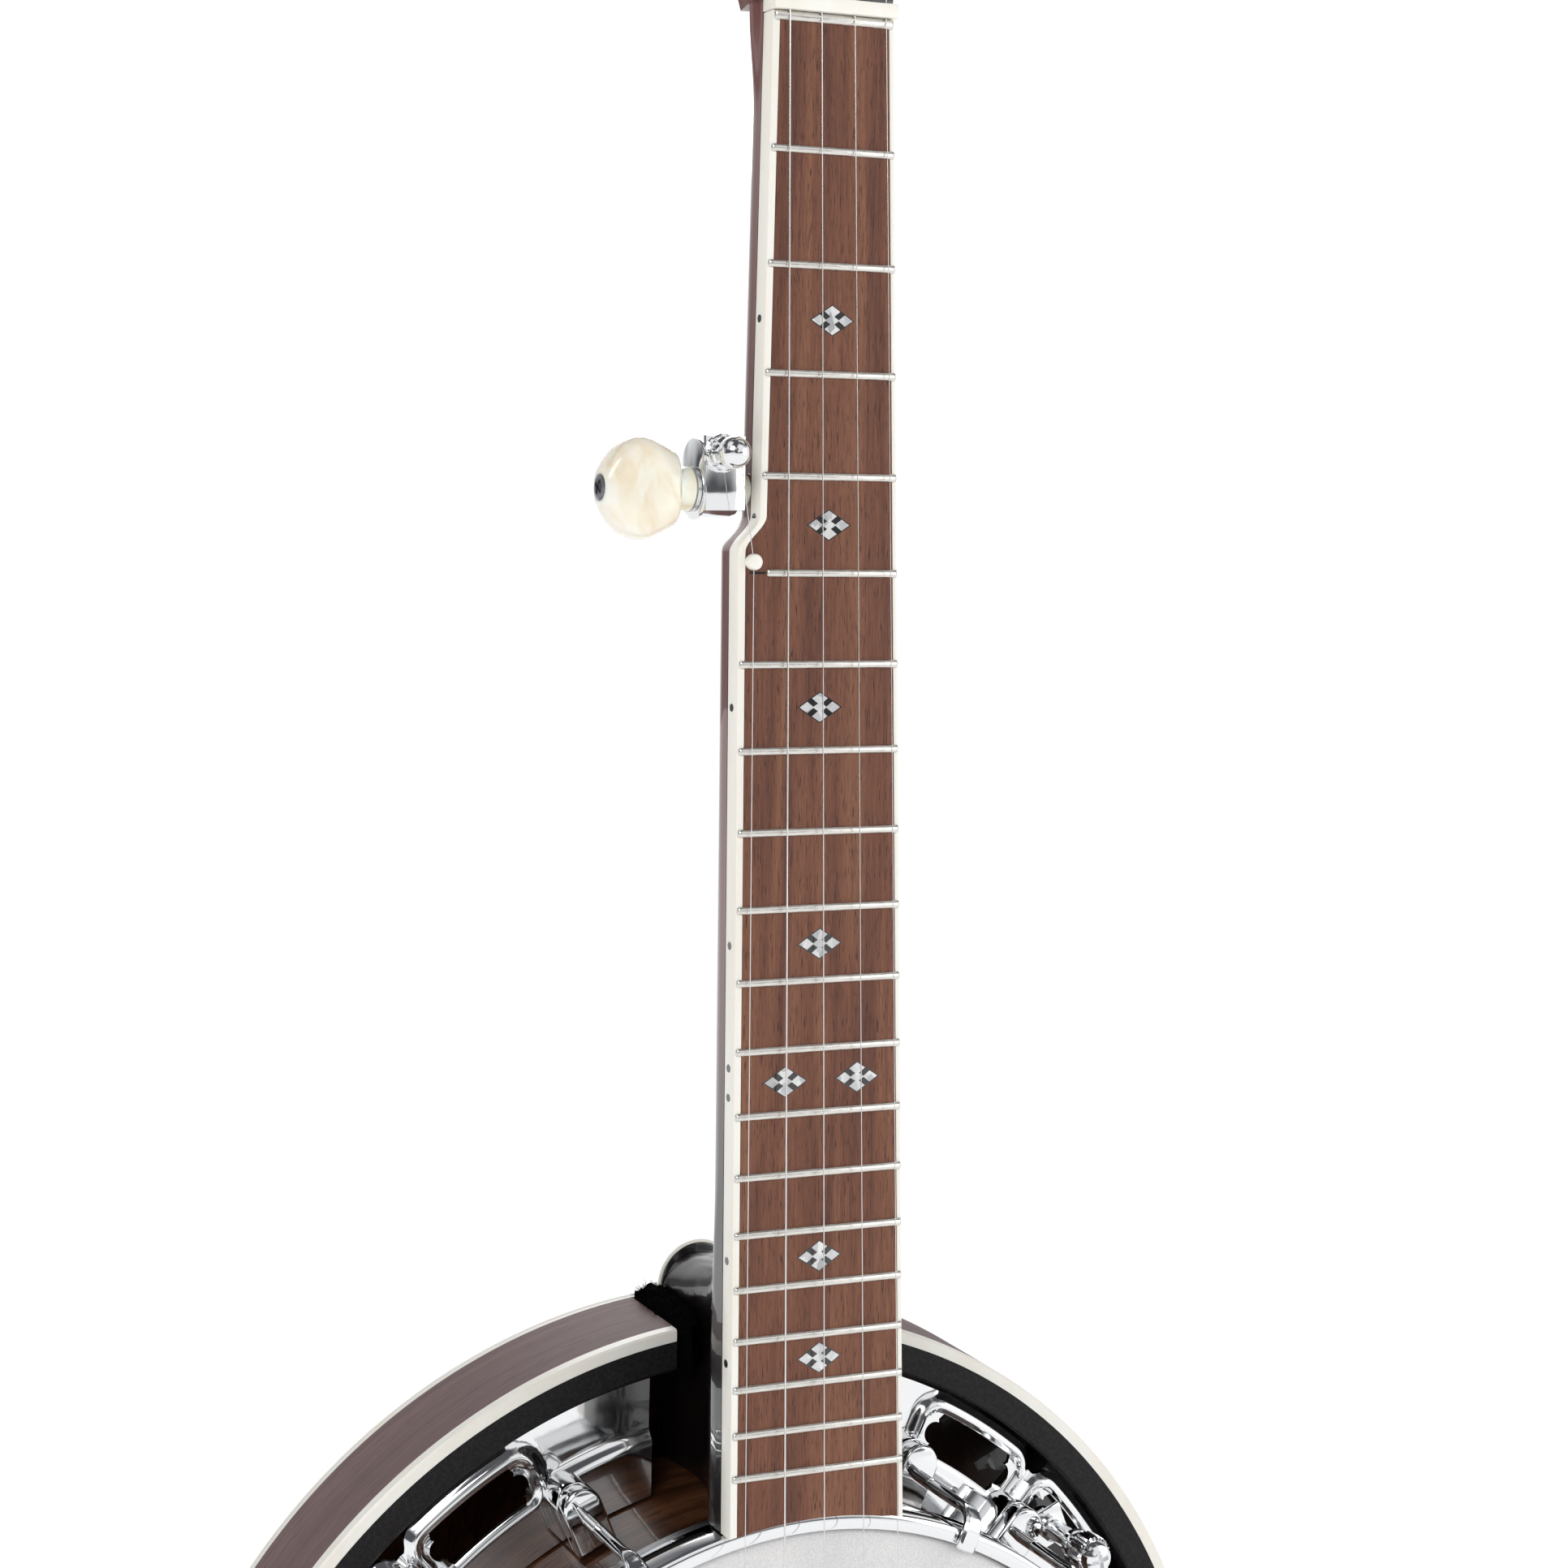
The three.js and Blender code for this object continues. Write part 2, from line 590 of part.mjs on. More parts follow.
// A flat ring round the rim, open for the neck, with a row of long slots.
function addFlange() {
  const outerStart = THREE.MathUtils.radToDeg(Math.asin(FLANGE_NOTCH / FLANGE_OUTER));
  const innerStart = THREE.MathUtils.radToDeg(Math.asin(FLANGE_NOTCH / FLANGE_INNER));
  const outline = [
    ...arc(FLANGE_OUTER, outerStart, 360 - outerStart, 64),
    ...arc(FLANGE_INNER, 360 - innerStart, innerStart, 60),
  ];
  const angles = [180];
  for (let i = 0; i < SLOTS_PER_SIDE; i += 1) {
    const angle = SLOT_FIRST + i * SLOT_PITCH;
    angles.push(angle, -angle);
  }
  const slots = angles.map((angle) => {
    const [from, to] = [angle - SLOT_HALF_SPAN, angle + SLOT_HALF_SPAN];
    const outlineOfSlot = sector(SLOT_INNER, SLOT_OUTER, from, to, 3);
    return plate(outlineOfSlot, FLANGE_FRONT - 1, FLANGE_FRONT + FLANGE_THICKNESS + 1);
  });
  const ring = plate(outline, FLANGE_FRONT, FLANGE_FRONT + FLANGE_THICKNESS);
  add('flange', cut(ring, ...slots), 'chrome');
}

// Two rods across the inside of the rim hold the neck on and set its angle.
function addCoordinatorRods() {
  const reach = RIM_INNER - 0.7;
  for (const [name, y] of [['coordinator_rod_front', -55.5], ['coordinator_rod_back', -37]]) {
    const rod = barZ(4, -reach, reach, 10);
    const nuts = [barZ(7, -reach, -reach + 7, 6), barZ(7, reach - 7, reach, 6)];
    add(name, join(rod, ...nuts).translate(0, y, 0), 'steel');
  }
}

// A curved plate over the hoop on the bass side, on two legs that reach down outside the hooks.
function addArmrest() {
  const { inner, outer, from, to, front, thickness } = ARMREST;
  const top = plate(sector(inner, outer, from, to, 10), front, front + thickness);
  const skirt = plate(sector(outer - thickness, outer, from, to, 10), front + 1, front + 9);
  const legs = ARMREST_LEGS.map((angle) =>
    plate(sector(outer - 4.8, outer - 3.2, angle - 2, angle + 2, 1), front + 1, front + 24));
  add('armrest', join(top, skirt, ...legs), 'chrome');
}

// ---------------------------------------------------------------- resonator

const notchSpace = (clearance) => block(
  [-NOTCH_HALF_WIDTH - clearance, RESONATOR_FRONT - 5, 150],
  [NOTCH_HALF_WIDTH + clearance, WALL_BACK, 200],
);

// The outside of the back as [radius, y] pairs, flat in the middle and falling to its border.
function backCurve(offset, outerRadius, steps) {
  return Array.from({ length: steps + 1 }, (_, i) => {
    const radius = lerp(BACK_FLAT_RADIUS, outerRadius, i / steps);
    const fall = ((radius - BACK_FLAT_RADIUS) / (outerRadius - BACK_FLAT_RADIUS)) ** 2.2;
    return [radius, -offset - BACK_BORDER_DEPTH * fall];
  });
}

// The wall is a ring with a lip at the front, four lugs for the screws and a notch for the heel.
function resonatorWall() {
  const bound = RESONATOR_RADIUS - EDGE_BINDING;
  const front = RESONATOR_FRONT + EDGE_BINDING + GLUE_GAP;
  const back = WALL_BACK - GLUE_GAP;
  const ring = turned([
    [WALL_INNER, back], [RESONATOR_RADIUS, back], [RESONATOR_RADIUS, front], [bound, front],
    [bound, RESONATOR_FRONT], [LIP_INNER, RESONATOR_FRONT], [LIP_INNER, RESONATOR_FRONT + 7],
    [WALL_INNER, RESONATOR_FRONT + 11],
  ]);
  const lugs = SCREW_ANGLES.map((angle) => {
    const body = block([-9, LUG_FRONT, 152], [9, LUG_BACK, WALL_INNER + 1]);
    const hole = barY(2.6, LUG_FRONT - 4, LUG_BACK + 5, 10).translate(0, 0, SCREW_RADIUS_ON_POT);
    return cut(body, hole).rotateY(radians(angle));
  });
  return cut(join(ring, ...lugs), notchSpace(0));
}

function addResonator() {
  const bound = RESONATOR_RADIUS - EDGE_BINDING;
  const backEdge = bound - GLUE_GAP;
  const backInside = WALL_INNER - 3;
  add('resonator_side', resonatorWall(), 'resonatorWood');
  add('resonator_back', turned([
    [0, 0], ...backCurve(0, backEdge, 6), [backEdge, WALL_BACK], [backInside, WALL_BACK],
    ...backCurve(BACK_THICKNESS, backInside, 4).reverse(), [0, -BACK_THICKNESS],
  ]), 'backWood');
  const [front, back] = [RESONATOR_FRONT, RESONATOR_FRONT + EDGE_BINDING];
  const frontBinding = band(bound + GLUE_GAP, RESONATOR_RADIUS, front, back);
  add('resonator_binding_front', cut(frontBinding, notchSpace(0.3)), 'ivory');
  add('resonator_binding_back', turned([
    [bound, WALL_BACK], [RESONATOR_RADIUS, WALL_BACK],
    [RESONATOR_RADIUS, -BACK_BORDER_DEPTH - 2], [RESONATOR_RADIUS - 2, -BACK_BORDER_DEPTH],
    [bound, -BACK_BORDER_DEPTH],
  ]), 'ivory');

  const outer = NOTCH_HALF_WIDTH - 0.3;
  const inner = outer - 4;
  const floor = WALL_BACK - 0.3;
  const lining = pointsOf([
    [-outer, RESONATOR_FRONT], [-inner, RESONATOR_FRONT], [-inner, floor - 2.2], [inner, floor - 2.2],
    [inner, RESONATOR_FRONT], [outer, RESONATOR_FRONT], [outer, floor], [-outer, floor],
  ]);
  add('notch_felt', prism(lining, 176, 192), 'felt');
}

// A screw passes through a flange slot into its lug: domed cap, grip ring, stepped collar, shank.
function addResonatorScrews() {
  const profile = [
    [0, -88.2], [3.4, -87.6], [5.5, -85.4], [5.5, -84], [6.5, -83.6], [6.5, -77.4], [4.6, -77],
    [4.6, -70], [3.6, -69.6], [3.6, -57.6], [2.1, -57.2], [2.1, -32], [0, -32],
  ];
  SCREW_ANGLES.forEach((angle, i) => {
    const place = radians(angle);
    const mesh = add(`resonator_screw_${i + 1}`, turned(profile, 10), 'chrome');
    const [x, z] = [Math.sin(place), Math.cos(place)];
    mesh.position.set(SCREW_RADIUS_ON_POT * x, 0, SCREW_RADIUS_ON_POT * z);
  });
}

// ---------------------------------------------------------------- bridge and tailpiece

// Three feet and two arches, tapering from the feet to the top.
function addBridge() {
  const [left, right] = [-32, 34.5];
  const foot = HEAD_FRONT - 0.15;
  const top = BRIDGE_TOP + 2.4;
  const archTop = foot - 8;
  const outline = pointsOf([
    [left - 2, foot], [left + 8, foot], [left + 11, archTop], [left + 23, archTop],
    [left + 27, foot], [left + 39, foot], [left + 43, archTop], [right - 11, archTop],
    [right - 8, foot], [right + 2, foot], [right, foot - 6], [right, top], [left, top],
    [left, foot - 6],
  ]);
  const footHalf = 3.3;
  const topHalf = 1.5;
  const body = prism(outline, -footHalf, footHalf);
  const position = body.attributes.position;
  for (let i = 0; i < position.count; i += 1) {
    const height = (position.getY(i) - foot) / (top - foot);
    position.setZ(i, position.getZ(i) * lerp(1, topHalf / footHalf, height));
  }
  add('bridge', body.translate(0, 0, BRIDGE_Z), 'maple');
  const strip = block([left, BRIDGE_TOP, -topHalf], [right, top - GLUE_GAP, topHalf]);
  add('bridge_top', strip.translate(0, 0, BRIDGE_Z), 'ebony');
}

// A bent plate holds the string ends; a bolt through the rim holds it, and a lid covers the ends.
function addTailpiece() {
  const [y, z] = [TAIL_HINGE_Y, TAIL_HINGE_Z];
  const floorFront = y + 1.9;
  const floor = block([-17, floorFront, z + 1.1], [17, floorFront + 1.8, -110]);
  const wall = block([-9, floorFront, z - 0.8], [9, TAIL_BOLT_Y + 8, z + 1.4]);
  const boltHole = barZ(TAIL_BOLT_RADIUS + 0.4, z - 5, z + 5).translate(0, TAIL_BOLT_Y, 0);
  const ears = [-14, 10.4].map((x) => join(
    barX(1.7, x, x + 3.6, 10).translate(0, y, z),
    block([x, y, z], [x + 3.6, floorFront + 1.2, z + 3.1]),
  ));
  const pin = barX(0.7, -13, 13, 8).translate(0, y, z);
  add('tailpiece', join(floor, cut(wall, boltHole), ...ears, pin), 'chrome');

  const knuckle = barX(1.8, -10, 10, 10).translate(0, y, z);
  const lid = block([-16, -117, -147], [16, -115.8, -112]);
  const arm = block([-10, -116.9, -151], [10, -115.2, -146.5]);
  const neckOfLid = block([-10, -116, -151.6], [10, y - 0.6, -149.6]);
  const bore = barX(1.1, -12, 12, 10).translate(0, y, z);
  add('tailpiece_lid', cut(join(knuckle, lid, arm, neckOfLid), bore), 'chrome');

  const shank = barZ(TAIL_BOLT_RADIUS, -157, -112, 10);
  const nuts = [barZ(5.6, -157, z - 1.1, 6), barZ(5.6, -117.8, -112.4, 6)];
  add('tailpiece_bolt', join(shank, ...nuts).translate(0, TAIL_BOLT_Y, 0), 'steel');
}

// ---------------------------------------------------------------- tuners

// In a tuner's frame the post turns about the y axis through the origin, y is zero at the front
// of its case, and the knob turns about an x axis below the post.
const CASE_DEPTH = 17;
const CASE_RADIUS = 6.9;
const CAVITY_RADIUS = 6.2;
const WORM_Y = 8.5;
const GEAR_RADIUS = 5.8;
const WORM_RADIUS = 4.6;
const WORM_HALF_LENGTH = 3.8;
const SHAFT_RADIUS = 2.2;
const BUTTON_START = 9.4;

// An upright slot shape about the post's and the knob's axes.
function caseOutline(radius) {
  const steps = 6;
  const around = (from, centre) => Array.from({ length: steps + 1 }, (_, i) => {
    const turn = from + (Math.PI * i) / steps;
    return new THREE.Vector2(radius * Math.cos(turn), centre + radius * Math.sin(turn));
  });
  return [...around(0, 1), ...around(Math.PI, -WORM_OFFSET)];
}

// The case is open to the back on the fifth-string tuner and open to the wood on the others.
function tunerCase(side, openBack) {
  const shell = plate(caseOutline(CASE_RADIUS), 0.2, CASE_DEPTH);
  const cavity = openBack
    ? plate(caseOutline(CAVITY_RADIUS), 1.4, CASE_DEPTH + 1)
    : plate(caseOutline(CAVITY_RADIUS), -1, CASE_DEPTH - 1.2);
  const shaftHole = turnedToSide(barX(SHAFT_RADIUS + 0.4, 3, 12), side);
  const postHole = barY(POST_RADIUS + 0.4, -2, 3);
  return cut(shell, cavity, shaftHole.translate(0, WORM_Y, -WORM_OFFSET), postHole);
}

// A toothed wheel on the post, inside the case.
function postGear() {
  const teeth = 12;
  const outline = Array.from({ length: teeth * 2 }, (_, i) => {
    const turn = (Math.PI * i) / teeth;
    const radius = i % 2 === 0 ? GEAR_RADIUS : GEAR_RADIUS - 0.9;
    return new THREE.Vector2(radius * Math.cos(turn), radius * Math.sin(turn));
  });
  return plate(outline, WORM_Y - 3, WORM_Y + 3);
}

// A post with a narrowed waist for the string and a domed tip.
function tunerPost(front) {
  const tip = 4.4;
  const profile = [
    [0, front], [2.4, front + 0.5], [tip, front + 2.8], [tip, front + 5], [2.4, front + 7],
    [2.4, front + 8.4], [POST_RADIUS, front + 9], [POST_RADIUS, WORM_Y + 4], [0, WORM_Y + 4],
  ];
  return join(turned(profile, 10), postGear());
}

function tunerShaft(side) {
  const worm = barX(WORM_RADIUS, -WORM_HALF_LENGTH, WORM_HALF_LENGTH, 12);
  const shaft = barX(SHAFT_RADIUS, 0, BUTTON_START + 12, 10);
  const washer = barX(4.6, CASE_RADIUS + 0.4, BUTTON_START - 0.4, 12);
  return turnedToSide(join(worm, shaft, washer), side);
}

// A flat button with a narrow collar end, a broad waist and a blunt outer end.
function tunerButton(side) {
  const half = [[0, 6], [2.5, 6.4], [5.5, 11], [11, 15], [17, 15.2], [22, 11.5], [26.5, 6.5]];
  const outline = [...half, ...half.map(([x, z]) => [x, -z]).reverse()];
  const shape = new THREE.Shape(pointsOf(outline.map(([x, z]) => [x * 0.92 + 1, z * 0.9])));
  const bevel = { depth: 8.6, bevelSize: 1.4, bevelThickness: 2.2, bevelSegments: 1 };
  const body = new THREE.ExtrudeGeometry(shape, bevel).translate(0, 0, -bevel.depth / 2);
  const bore = barX(SHAFT_RADIUS + 0.3, -5, 13, 10);
  const button = cut(body.rotateX(Math.PI / 2), bore).translate(BUTTON_START, 0, 0);
  return turnedToSide(button, side);
}

function addTuner(number, side, postFront, openBack, place, frame) {
  const tuner = new THREE.Group();
  tuner.position.set(place.x, place.y, place.z);
  frame.add(tuner);
  add(`tuner_case_${number}`, tunerCase(side, openBack), 'chrome', tuner);
  add(`tuner_post_${number}`, tunerPost(postFront), 'chrome', tuner);
  const shaft = add(`tuner_shaft_${number}`, tunerShaft(side), 'steel', tuner);
  const button = add(`tuner_button_${number}`, tunerButton(side), 'cream', tuner);
  for (const mesh of [shaft, button]) {
    mesh.position.set(0, WORM_Y, -WORM_OFFSET);
  }
}

function addTuners() {
  const back = HEADSTOCK_BACK + GLUE_GAP;
  for (const { number, side, z } of HEADSTOCK_POSTS) {
    const place = { x: side * POST_X, y: back, z };
    addTuner(number, side, -back - POST_FRONT, false, place, headstockFrame);
  }
  addTuner(5, -1, -FIFTH_POST.y - 10.5, true, FIFTH_POST, neckFrame);
  const [knobY, knobZ] = [FIFTH_POST.y + WORM_Y, FIFTH_POST.z - WORM_OFFSET];
  const neckSide = -bassHalfWidth(-knobZ) - BASS_BINDING;
  const spacer = barX(4.6, FIFTH_POST.x + CASE_RADIUS + 0.3, neckSide - 0.3);
  add('fifth_tuner_spacer', spacer.translate(0, knobY, knobZ), 'aluminium', neckFrame);
}

// ---------------------------------------------------------------- assembly

addNeck();
addFretboard();
addHeadstockPieces();
addNutAndZeroFret();
addFifthStringPip();
addStrings();
addPot();
addFlange();
addCoordinatorRods();
addArmrest();
addResonator();
addResonatorScrews();
addBridge();
addTailpiece();
addTuners();

export default banjo;
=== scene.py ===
"""Looks of the banjo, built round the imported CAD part.

Lengths are millimetres in this script and metres in the scene. X points right, Y to the back and
Z towards the headstock. The pot is round about the Y axis, and its angles start at +Z and grow
towards +X. The neck, the headstock and each tuner have frames of their own, as in the part.
"""

import math
import random

import bmesh
import bpy
from mathutils import Matrix, Vector, noise


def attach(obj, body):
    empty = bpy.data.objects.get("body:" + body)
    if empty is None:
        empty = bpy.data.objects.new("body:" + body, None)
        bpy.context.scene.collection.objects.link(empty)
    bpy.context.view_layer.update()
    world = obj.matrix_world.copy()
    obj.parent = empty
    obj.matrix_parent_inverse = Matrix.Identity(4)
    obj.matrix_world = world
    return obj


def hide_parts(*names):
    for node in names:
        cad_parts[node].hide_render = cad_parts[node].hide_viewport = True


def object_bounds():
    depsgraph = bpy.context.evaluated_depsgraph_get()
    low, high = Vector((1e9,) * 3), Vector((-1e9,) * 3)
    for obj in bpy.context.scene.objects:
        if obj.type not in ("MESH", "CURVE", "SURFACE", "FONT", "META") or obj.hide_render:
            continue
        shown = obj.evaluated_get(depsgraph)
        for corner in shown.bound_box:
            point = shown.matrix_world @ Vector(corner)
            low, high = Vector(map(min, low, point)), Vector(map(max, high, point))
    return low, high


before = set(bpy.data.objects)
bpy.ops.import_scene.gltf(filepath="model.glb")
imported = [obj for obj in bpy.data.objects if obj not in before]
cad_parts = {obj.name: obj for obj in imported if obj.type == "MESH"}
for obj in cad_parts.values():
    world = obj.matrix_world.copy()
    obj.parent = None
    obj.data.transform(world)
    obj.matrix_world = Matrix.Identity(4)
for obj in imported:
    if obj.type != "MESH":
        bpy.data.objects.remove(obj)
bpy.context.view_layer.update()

MM = 0.001
WORLD = Matrix.Identity(4)

# ---------------------------------------------------------------- dimensions shared with the part

NECK_TILT = math.radians(1.6)
BOARD_LENGTH = 461
BOARD_THICKNESS = 6.6
ZERO_FRET_AHEAD = 3
BOARD_START = ZERO_FRET_AHEAD + 1.5
NUT_END = BOARD_START + 4.7
NUT_OVERHANG = 0.5
BASS_BINDING = 2.4
TREBLE_BINDING = 1.6
BASS_AT_NUT = 18.1
TREBLE_AT_NUT = 19.8
BASS_AT_STEP = 20.8
BASS_BELOW_STEP = 27.9
BASS_AT_POT = 27.3
TREBLE_AT_POT = 29
NECK_FLARE = 2.6
FLARE_LENGTH = 26
STEP_START = 150
STEP_END = 161
SCALE_LENGTH = 667
FRET_COUNT = 19
FRET_HEIGHT = 1.2
PIP_Z = -164
MARKED_FRETS = (3, 5, 7, 10, 12, 15, 17)
ZERO_FRET_Z = 605.1
ZERO_FRET_Y = -108 + BOARD_LENGTH * math.sin(NECK_TILT)

HEAD_FRONT = -102.9
RIM_RADIUS = 138
RIM_INNER = 118.5
HOOP_INNER = 139.3
HOOP_OUTER = 144.6
HOOP_FRONT = -104
FLANGE_OUTER = 176
FLANGE_BACK = -48
FLANGE_NOTCH = 30
HOOK_RADIUS = 150  # from the pot's axis to the middle of a hook's rod
HOOK_ANGLES = [sign * (23.4 + 18.42 * i) for i in range(9) for sign in (1, -1)]
SLOT_ANGLES = [180] + [sign * (33.4 + 18.325 * i) for i in range(8) for sign in (1, -1)]
SLOT_INNER = 155.5
SLOT_OUTER = 170
SLOT_HALF_SPAN = 7.25

RESONATOR = 191
RESONATOR_FRONT = -52
WALL_BACK = -16
EDGE_BINDING = 4
BINDING_BACK = RESONATOR_FRONT + EDGE_BINDING
LIP_INNER = 177.5
WALL_INNER = 184
NOTCH = 22
SCREW_ANGLES = [47.5, 129.3, 230.7, 312.5]
SCREW_RADIUS = 161

HEADSTOCK_START = NUT_END + 1
HEADSTOCK_TILT = math.radians(13)
HEADSTOCK_BACK = 15.5
OVERLAY = 1.8
POST_X = 25
HEADSTOCK_POSTS = {1: (1, 52), 2: (1, 112), 3: (-1, 112), 4: (-1, 52)}
FIFTH_POST = Vector((-34.8, 3, -131))
WORM_Y = 8.5
WORM_Z = -10.8

BRIDGE_Z = ZERO_FRET_Z - SCALE_LENGTH * math.cos(NECK_TILT)
BRIDGE_TOP = -119.3
TAIL_Y = -113.6
TAIL_Z = -150.6
TAIL_BOLT_Y = -70



def shift(x, y, z):
    return Matrix.Translation((x, y, z))


def turn_y(degrees):
    return Matrix.Rotation(math.radians(degrees), 4, "Y")


NECK = shift(0, ZERO_FRET_Y, ZERO_FRET_Z) @ Matrix.Rotation(-NECK_TILT, 4, "X")
HEADSTOCK = NECK @ shift(0, 3, HEADSTOCK_START) @ Matrix.Rotation(-HEADSTOCK_TILT, 4, "X")


def lerp(a, b, t):
    return a + (b - a) * t


def smooth(value, start, end):
    t = min(max((value - start) / (end - start), 0), 1)
    return t * t * (3 - 2 * t)


def through(knots, value):
    """The smooth curve through (position, value) knots, at a position."""
    if value <= knots[0][0]:
        return knots[0][1]
    for (a, va), (b, vb) in zip(knots, knots[1:]):
        if value <= b:
            return lerp(va, vb, smooth(value, a, b)) * 0.4 + lerp(va, vb, (value - a) / (b - a)) * 0.6
    return knots[-1][1]


# ---------------------------------------------------------------- material helpers


def rgba(colour):
    """A colour with its alpha, from three channels or one grey level."""
    return (*colour, 1) if isinstance(colour, tuple) else (colour, colour, colour, 1)


class Shader:
    """A material under construction: its node tree and its Principled BSDF."""

    def __init__(self, name, **inputs):
        self.material = bpy.data.materials.new(name)
        self.material.use_nodes = True
        self.nodes = self.material.node_tree.nodes
        self.links = self.material.node_tree.links
        self.bsdf = self.nodes["Principled BSDF"]
        for key, value in inputs.items():
            self.bsdf.inputs[key.replace("_", " ")].default_value = value
        self.coords = self.nodes.new("ShaderNodeTexCoord").outputs["Object"]

    def link(self, output, key):
        self.links.new(output, self.bsdf.inputs[key])
        return self

    def stretched(self, scale, source=None):
        """Object coordinates scaled per axis, in repeats per metre."""
        node = self.nodes.new("ShaderNodeVectorMath")
        node.operation = "MULTIPLY"
        self.links.new(source or self.coords, node.inputs[0])
        node.inputs[1].default_value = scale
        return node.outputs[0]

    def round_the_pot(self):
        """Coordinates that follow the pot: along its circumference, its depth and its radius."""
        split = self.nodes.new("ShaderNodeSeparateXYZ")
        self.links.new(self.coords, split.inputs[0])
        angle = self.math("ARCTAN2", split.outputs[0], split.outputs[2])
        squares = [self.math("MULTIPLY", split.outputs[i], split.outputs[i]) for i in (0, 2)]
        radius = self.math("SQRT", self.math("ADD", *squares), 0.5)
        join = self.nodes.new("ShaderNodeCombineXYZ")
        self.links.new(self.math("MULTIPLY", angle, 0.15), join.inputs[0])
        self.links.new(split.outputs[1], join.inputs[1])
        self.links.new(radius, join.inputs[2])
        return join.outputs[0], radius, split.outputs[1]

    def math(self, operation, a, b):
        node = self.nodes.new("ShaderNodeMath")
        node.operation = operation
        for socket, value in zip(node.inputs, (a, b)):
            if isinstance(value, (int, float)):
                socket.default_value = value
            else:
                self.links.new(value, socket)
        return node.outputs[0]

    def noise(self, vector, detail=4, roughness=0.55, distortion=0.0):
        node = self.nodes.new("ShaderNodeTexNoise")
        self.links.new(vector, node.inputs["Vector"])
        node.inputs["Scale"].default_value = 1
        node.inputs["Detail"].default_value = detail
        node.inputs["Roughness"].default_value = roughness
        node.inputs["Distortion"].default_value = distortion
        return node.outputs["Fac"]

    def cells(self, vector):
        node = self.nodes.new("ShaderNodeTexVoronoi")
        self.links.new(vector, node.inputs["Vector"])
        node.inputs["Scale"].default_value = 1
        return node.outputs["Color"], node.outputs["Distance"]

    def ramp(self, factor, *stops):
        node = self.nodes.new("ShaderNodeValToRGB")
        self.links.new(factor, node.inputs[0])
        elements = node.color_ramp.elements
        while len(elements) < len(stops):
            elements.new(0.5)
        for element, (position, colour) in zip(elements, stops):
            element.position = position
            element.color = rgba(colour)
        return node.outputs[0]

    def mix(self, factor, a, b, blend="MIX"):
        node = self.nodes.new("ShaderNodeMix")
        node.data_type = "RGBA"
        node.blend_type = blend
        for socket, value in ((node.inputs[0], factor), (node.inputs[6], a), (node.inputs[7], b)):
            if isinstance(value, bpy.types.NodeSocket):
                self.links.new(value, socket)
            else:
                socket.default_value = rgba(value) if socket.type == "RGBA" else value
        return node.outputs[2]

    def bump(self, height, strength, distance):
        """A bump of a height in millimetres, on top of any bump already there."""
        node = self.nodes.new("ShaderNodeBump")
        node.inputs["Strength"].default_value = strength
        node.inputs["Distance"].default_value = distance * MM
        self.links.new(height, node.inputs["Height"])
        before = self.bsdf.inputs["Normal"].links
        if before:
            self.links.new(before[0].from_socket, node.inputs["Normal"])
        return self.link(node.outputs[0], "Normal")

    def colour(self, factor, *stops):
        return self.link(self.ramp(factor, *stops), "Base Color")

    def rough(self, factor, *stops):
        return self.link(self.ramp(factor, *stops), "Roughness")

    def coat(self, weight, roughness=0.03):
        self.bsdf.inputs["Coat Weight"].default_value = weight
        self.bsdf.inputs["Coat Roughness"].default_value = roughness
        return self


# ---------------------------------------------------------------- materials


def chrome_material():
    shader = Shader("chrome", Base_Color=(0.80, 0.81, 0.82, 1), Metallic=1.0, Roughness=0.05)
    film = shader.noise(shader.stretched((90, 90, 90)), 5)
    shader.rough(film, (0.35, 0.03), (0.75, 0.1))
    waves = shader.noise(shader.stretched((140, 140, 140)), 1)
    return shader.bump(waves, 0.12, 0.25).material


def nickel_material():
    shader = Shader("nickel_silver", Metallic=1.0, Roughness=0.28)
    brushed = shader.noise(shader.stretched((300, 2500, 6000)), 3)
    tone = shader.ramp(brushed, (0.3, (0.60, 0.58, 0.54)), (0.75, (0.84, 0.82, 0.78)))
    shader.link(tone, "Base Color")
    shader.rough(brushed, (0.3, 0.18), (0.7, 0.38))
    return shader.bump(brushed, 0.25, 0.05).material


def steel_material():
    shader = Shader("steel", Metallic=1.0, Roughness=0.35)
    marks = shader.noise(shader.stretched((700, 700, 90)), 4)
    shader.colour(marks, (0.3, (0.34, 0.34, 0.35)), (0.7, (0.56, 0.56, 0.57)))
    shader.rough(marks, (0.3, 0.22), (0.7, 0.45))
    return shader.bump(marks, 0.2, 0.05).material


def string_material():
    shader = Shader("string_steel", Metallic=1.0, Roughness=0.22)
    drawn = shader.noise(shader.stretched((9000, 9000, 60)), 2)
    shader.colour(drawn, (0.3, (0.62, 0.61, 0.60)), (0.7, (0.80, 0.79, 0.77)))
    return shader.material


def brass_material():
    shader = Shader("bell_brass", Metallic=1.0, Roughness=0.3)
    stain = shader.noise(shader.stretched((120, 120, 120)), 5)
    shader.colour(stain, (0.3, (0.42, 0.30, 0.12)), (0.7, (0.62, 0.49, 0.24)))
    return shader.material


def aluminium_material():
    shader = Shader("aluminium", Metallic=1.0, Roughness=0.3)
    around, _, _ = shader.round_the_pot()
    brushed = shader.noise(shader.stretched((20, 4000, 4000), around), 3)
    shader.colour(brushed, (0.3, (0.62, 0.63, 0.64)), (0.7, (0.80, 0.81, 0.82)))
    shader.rough(brushed, (0.3, 0.2), (0.7, 0.4))
    return shader.bump(brushed, 0.2, 0.04).material


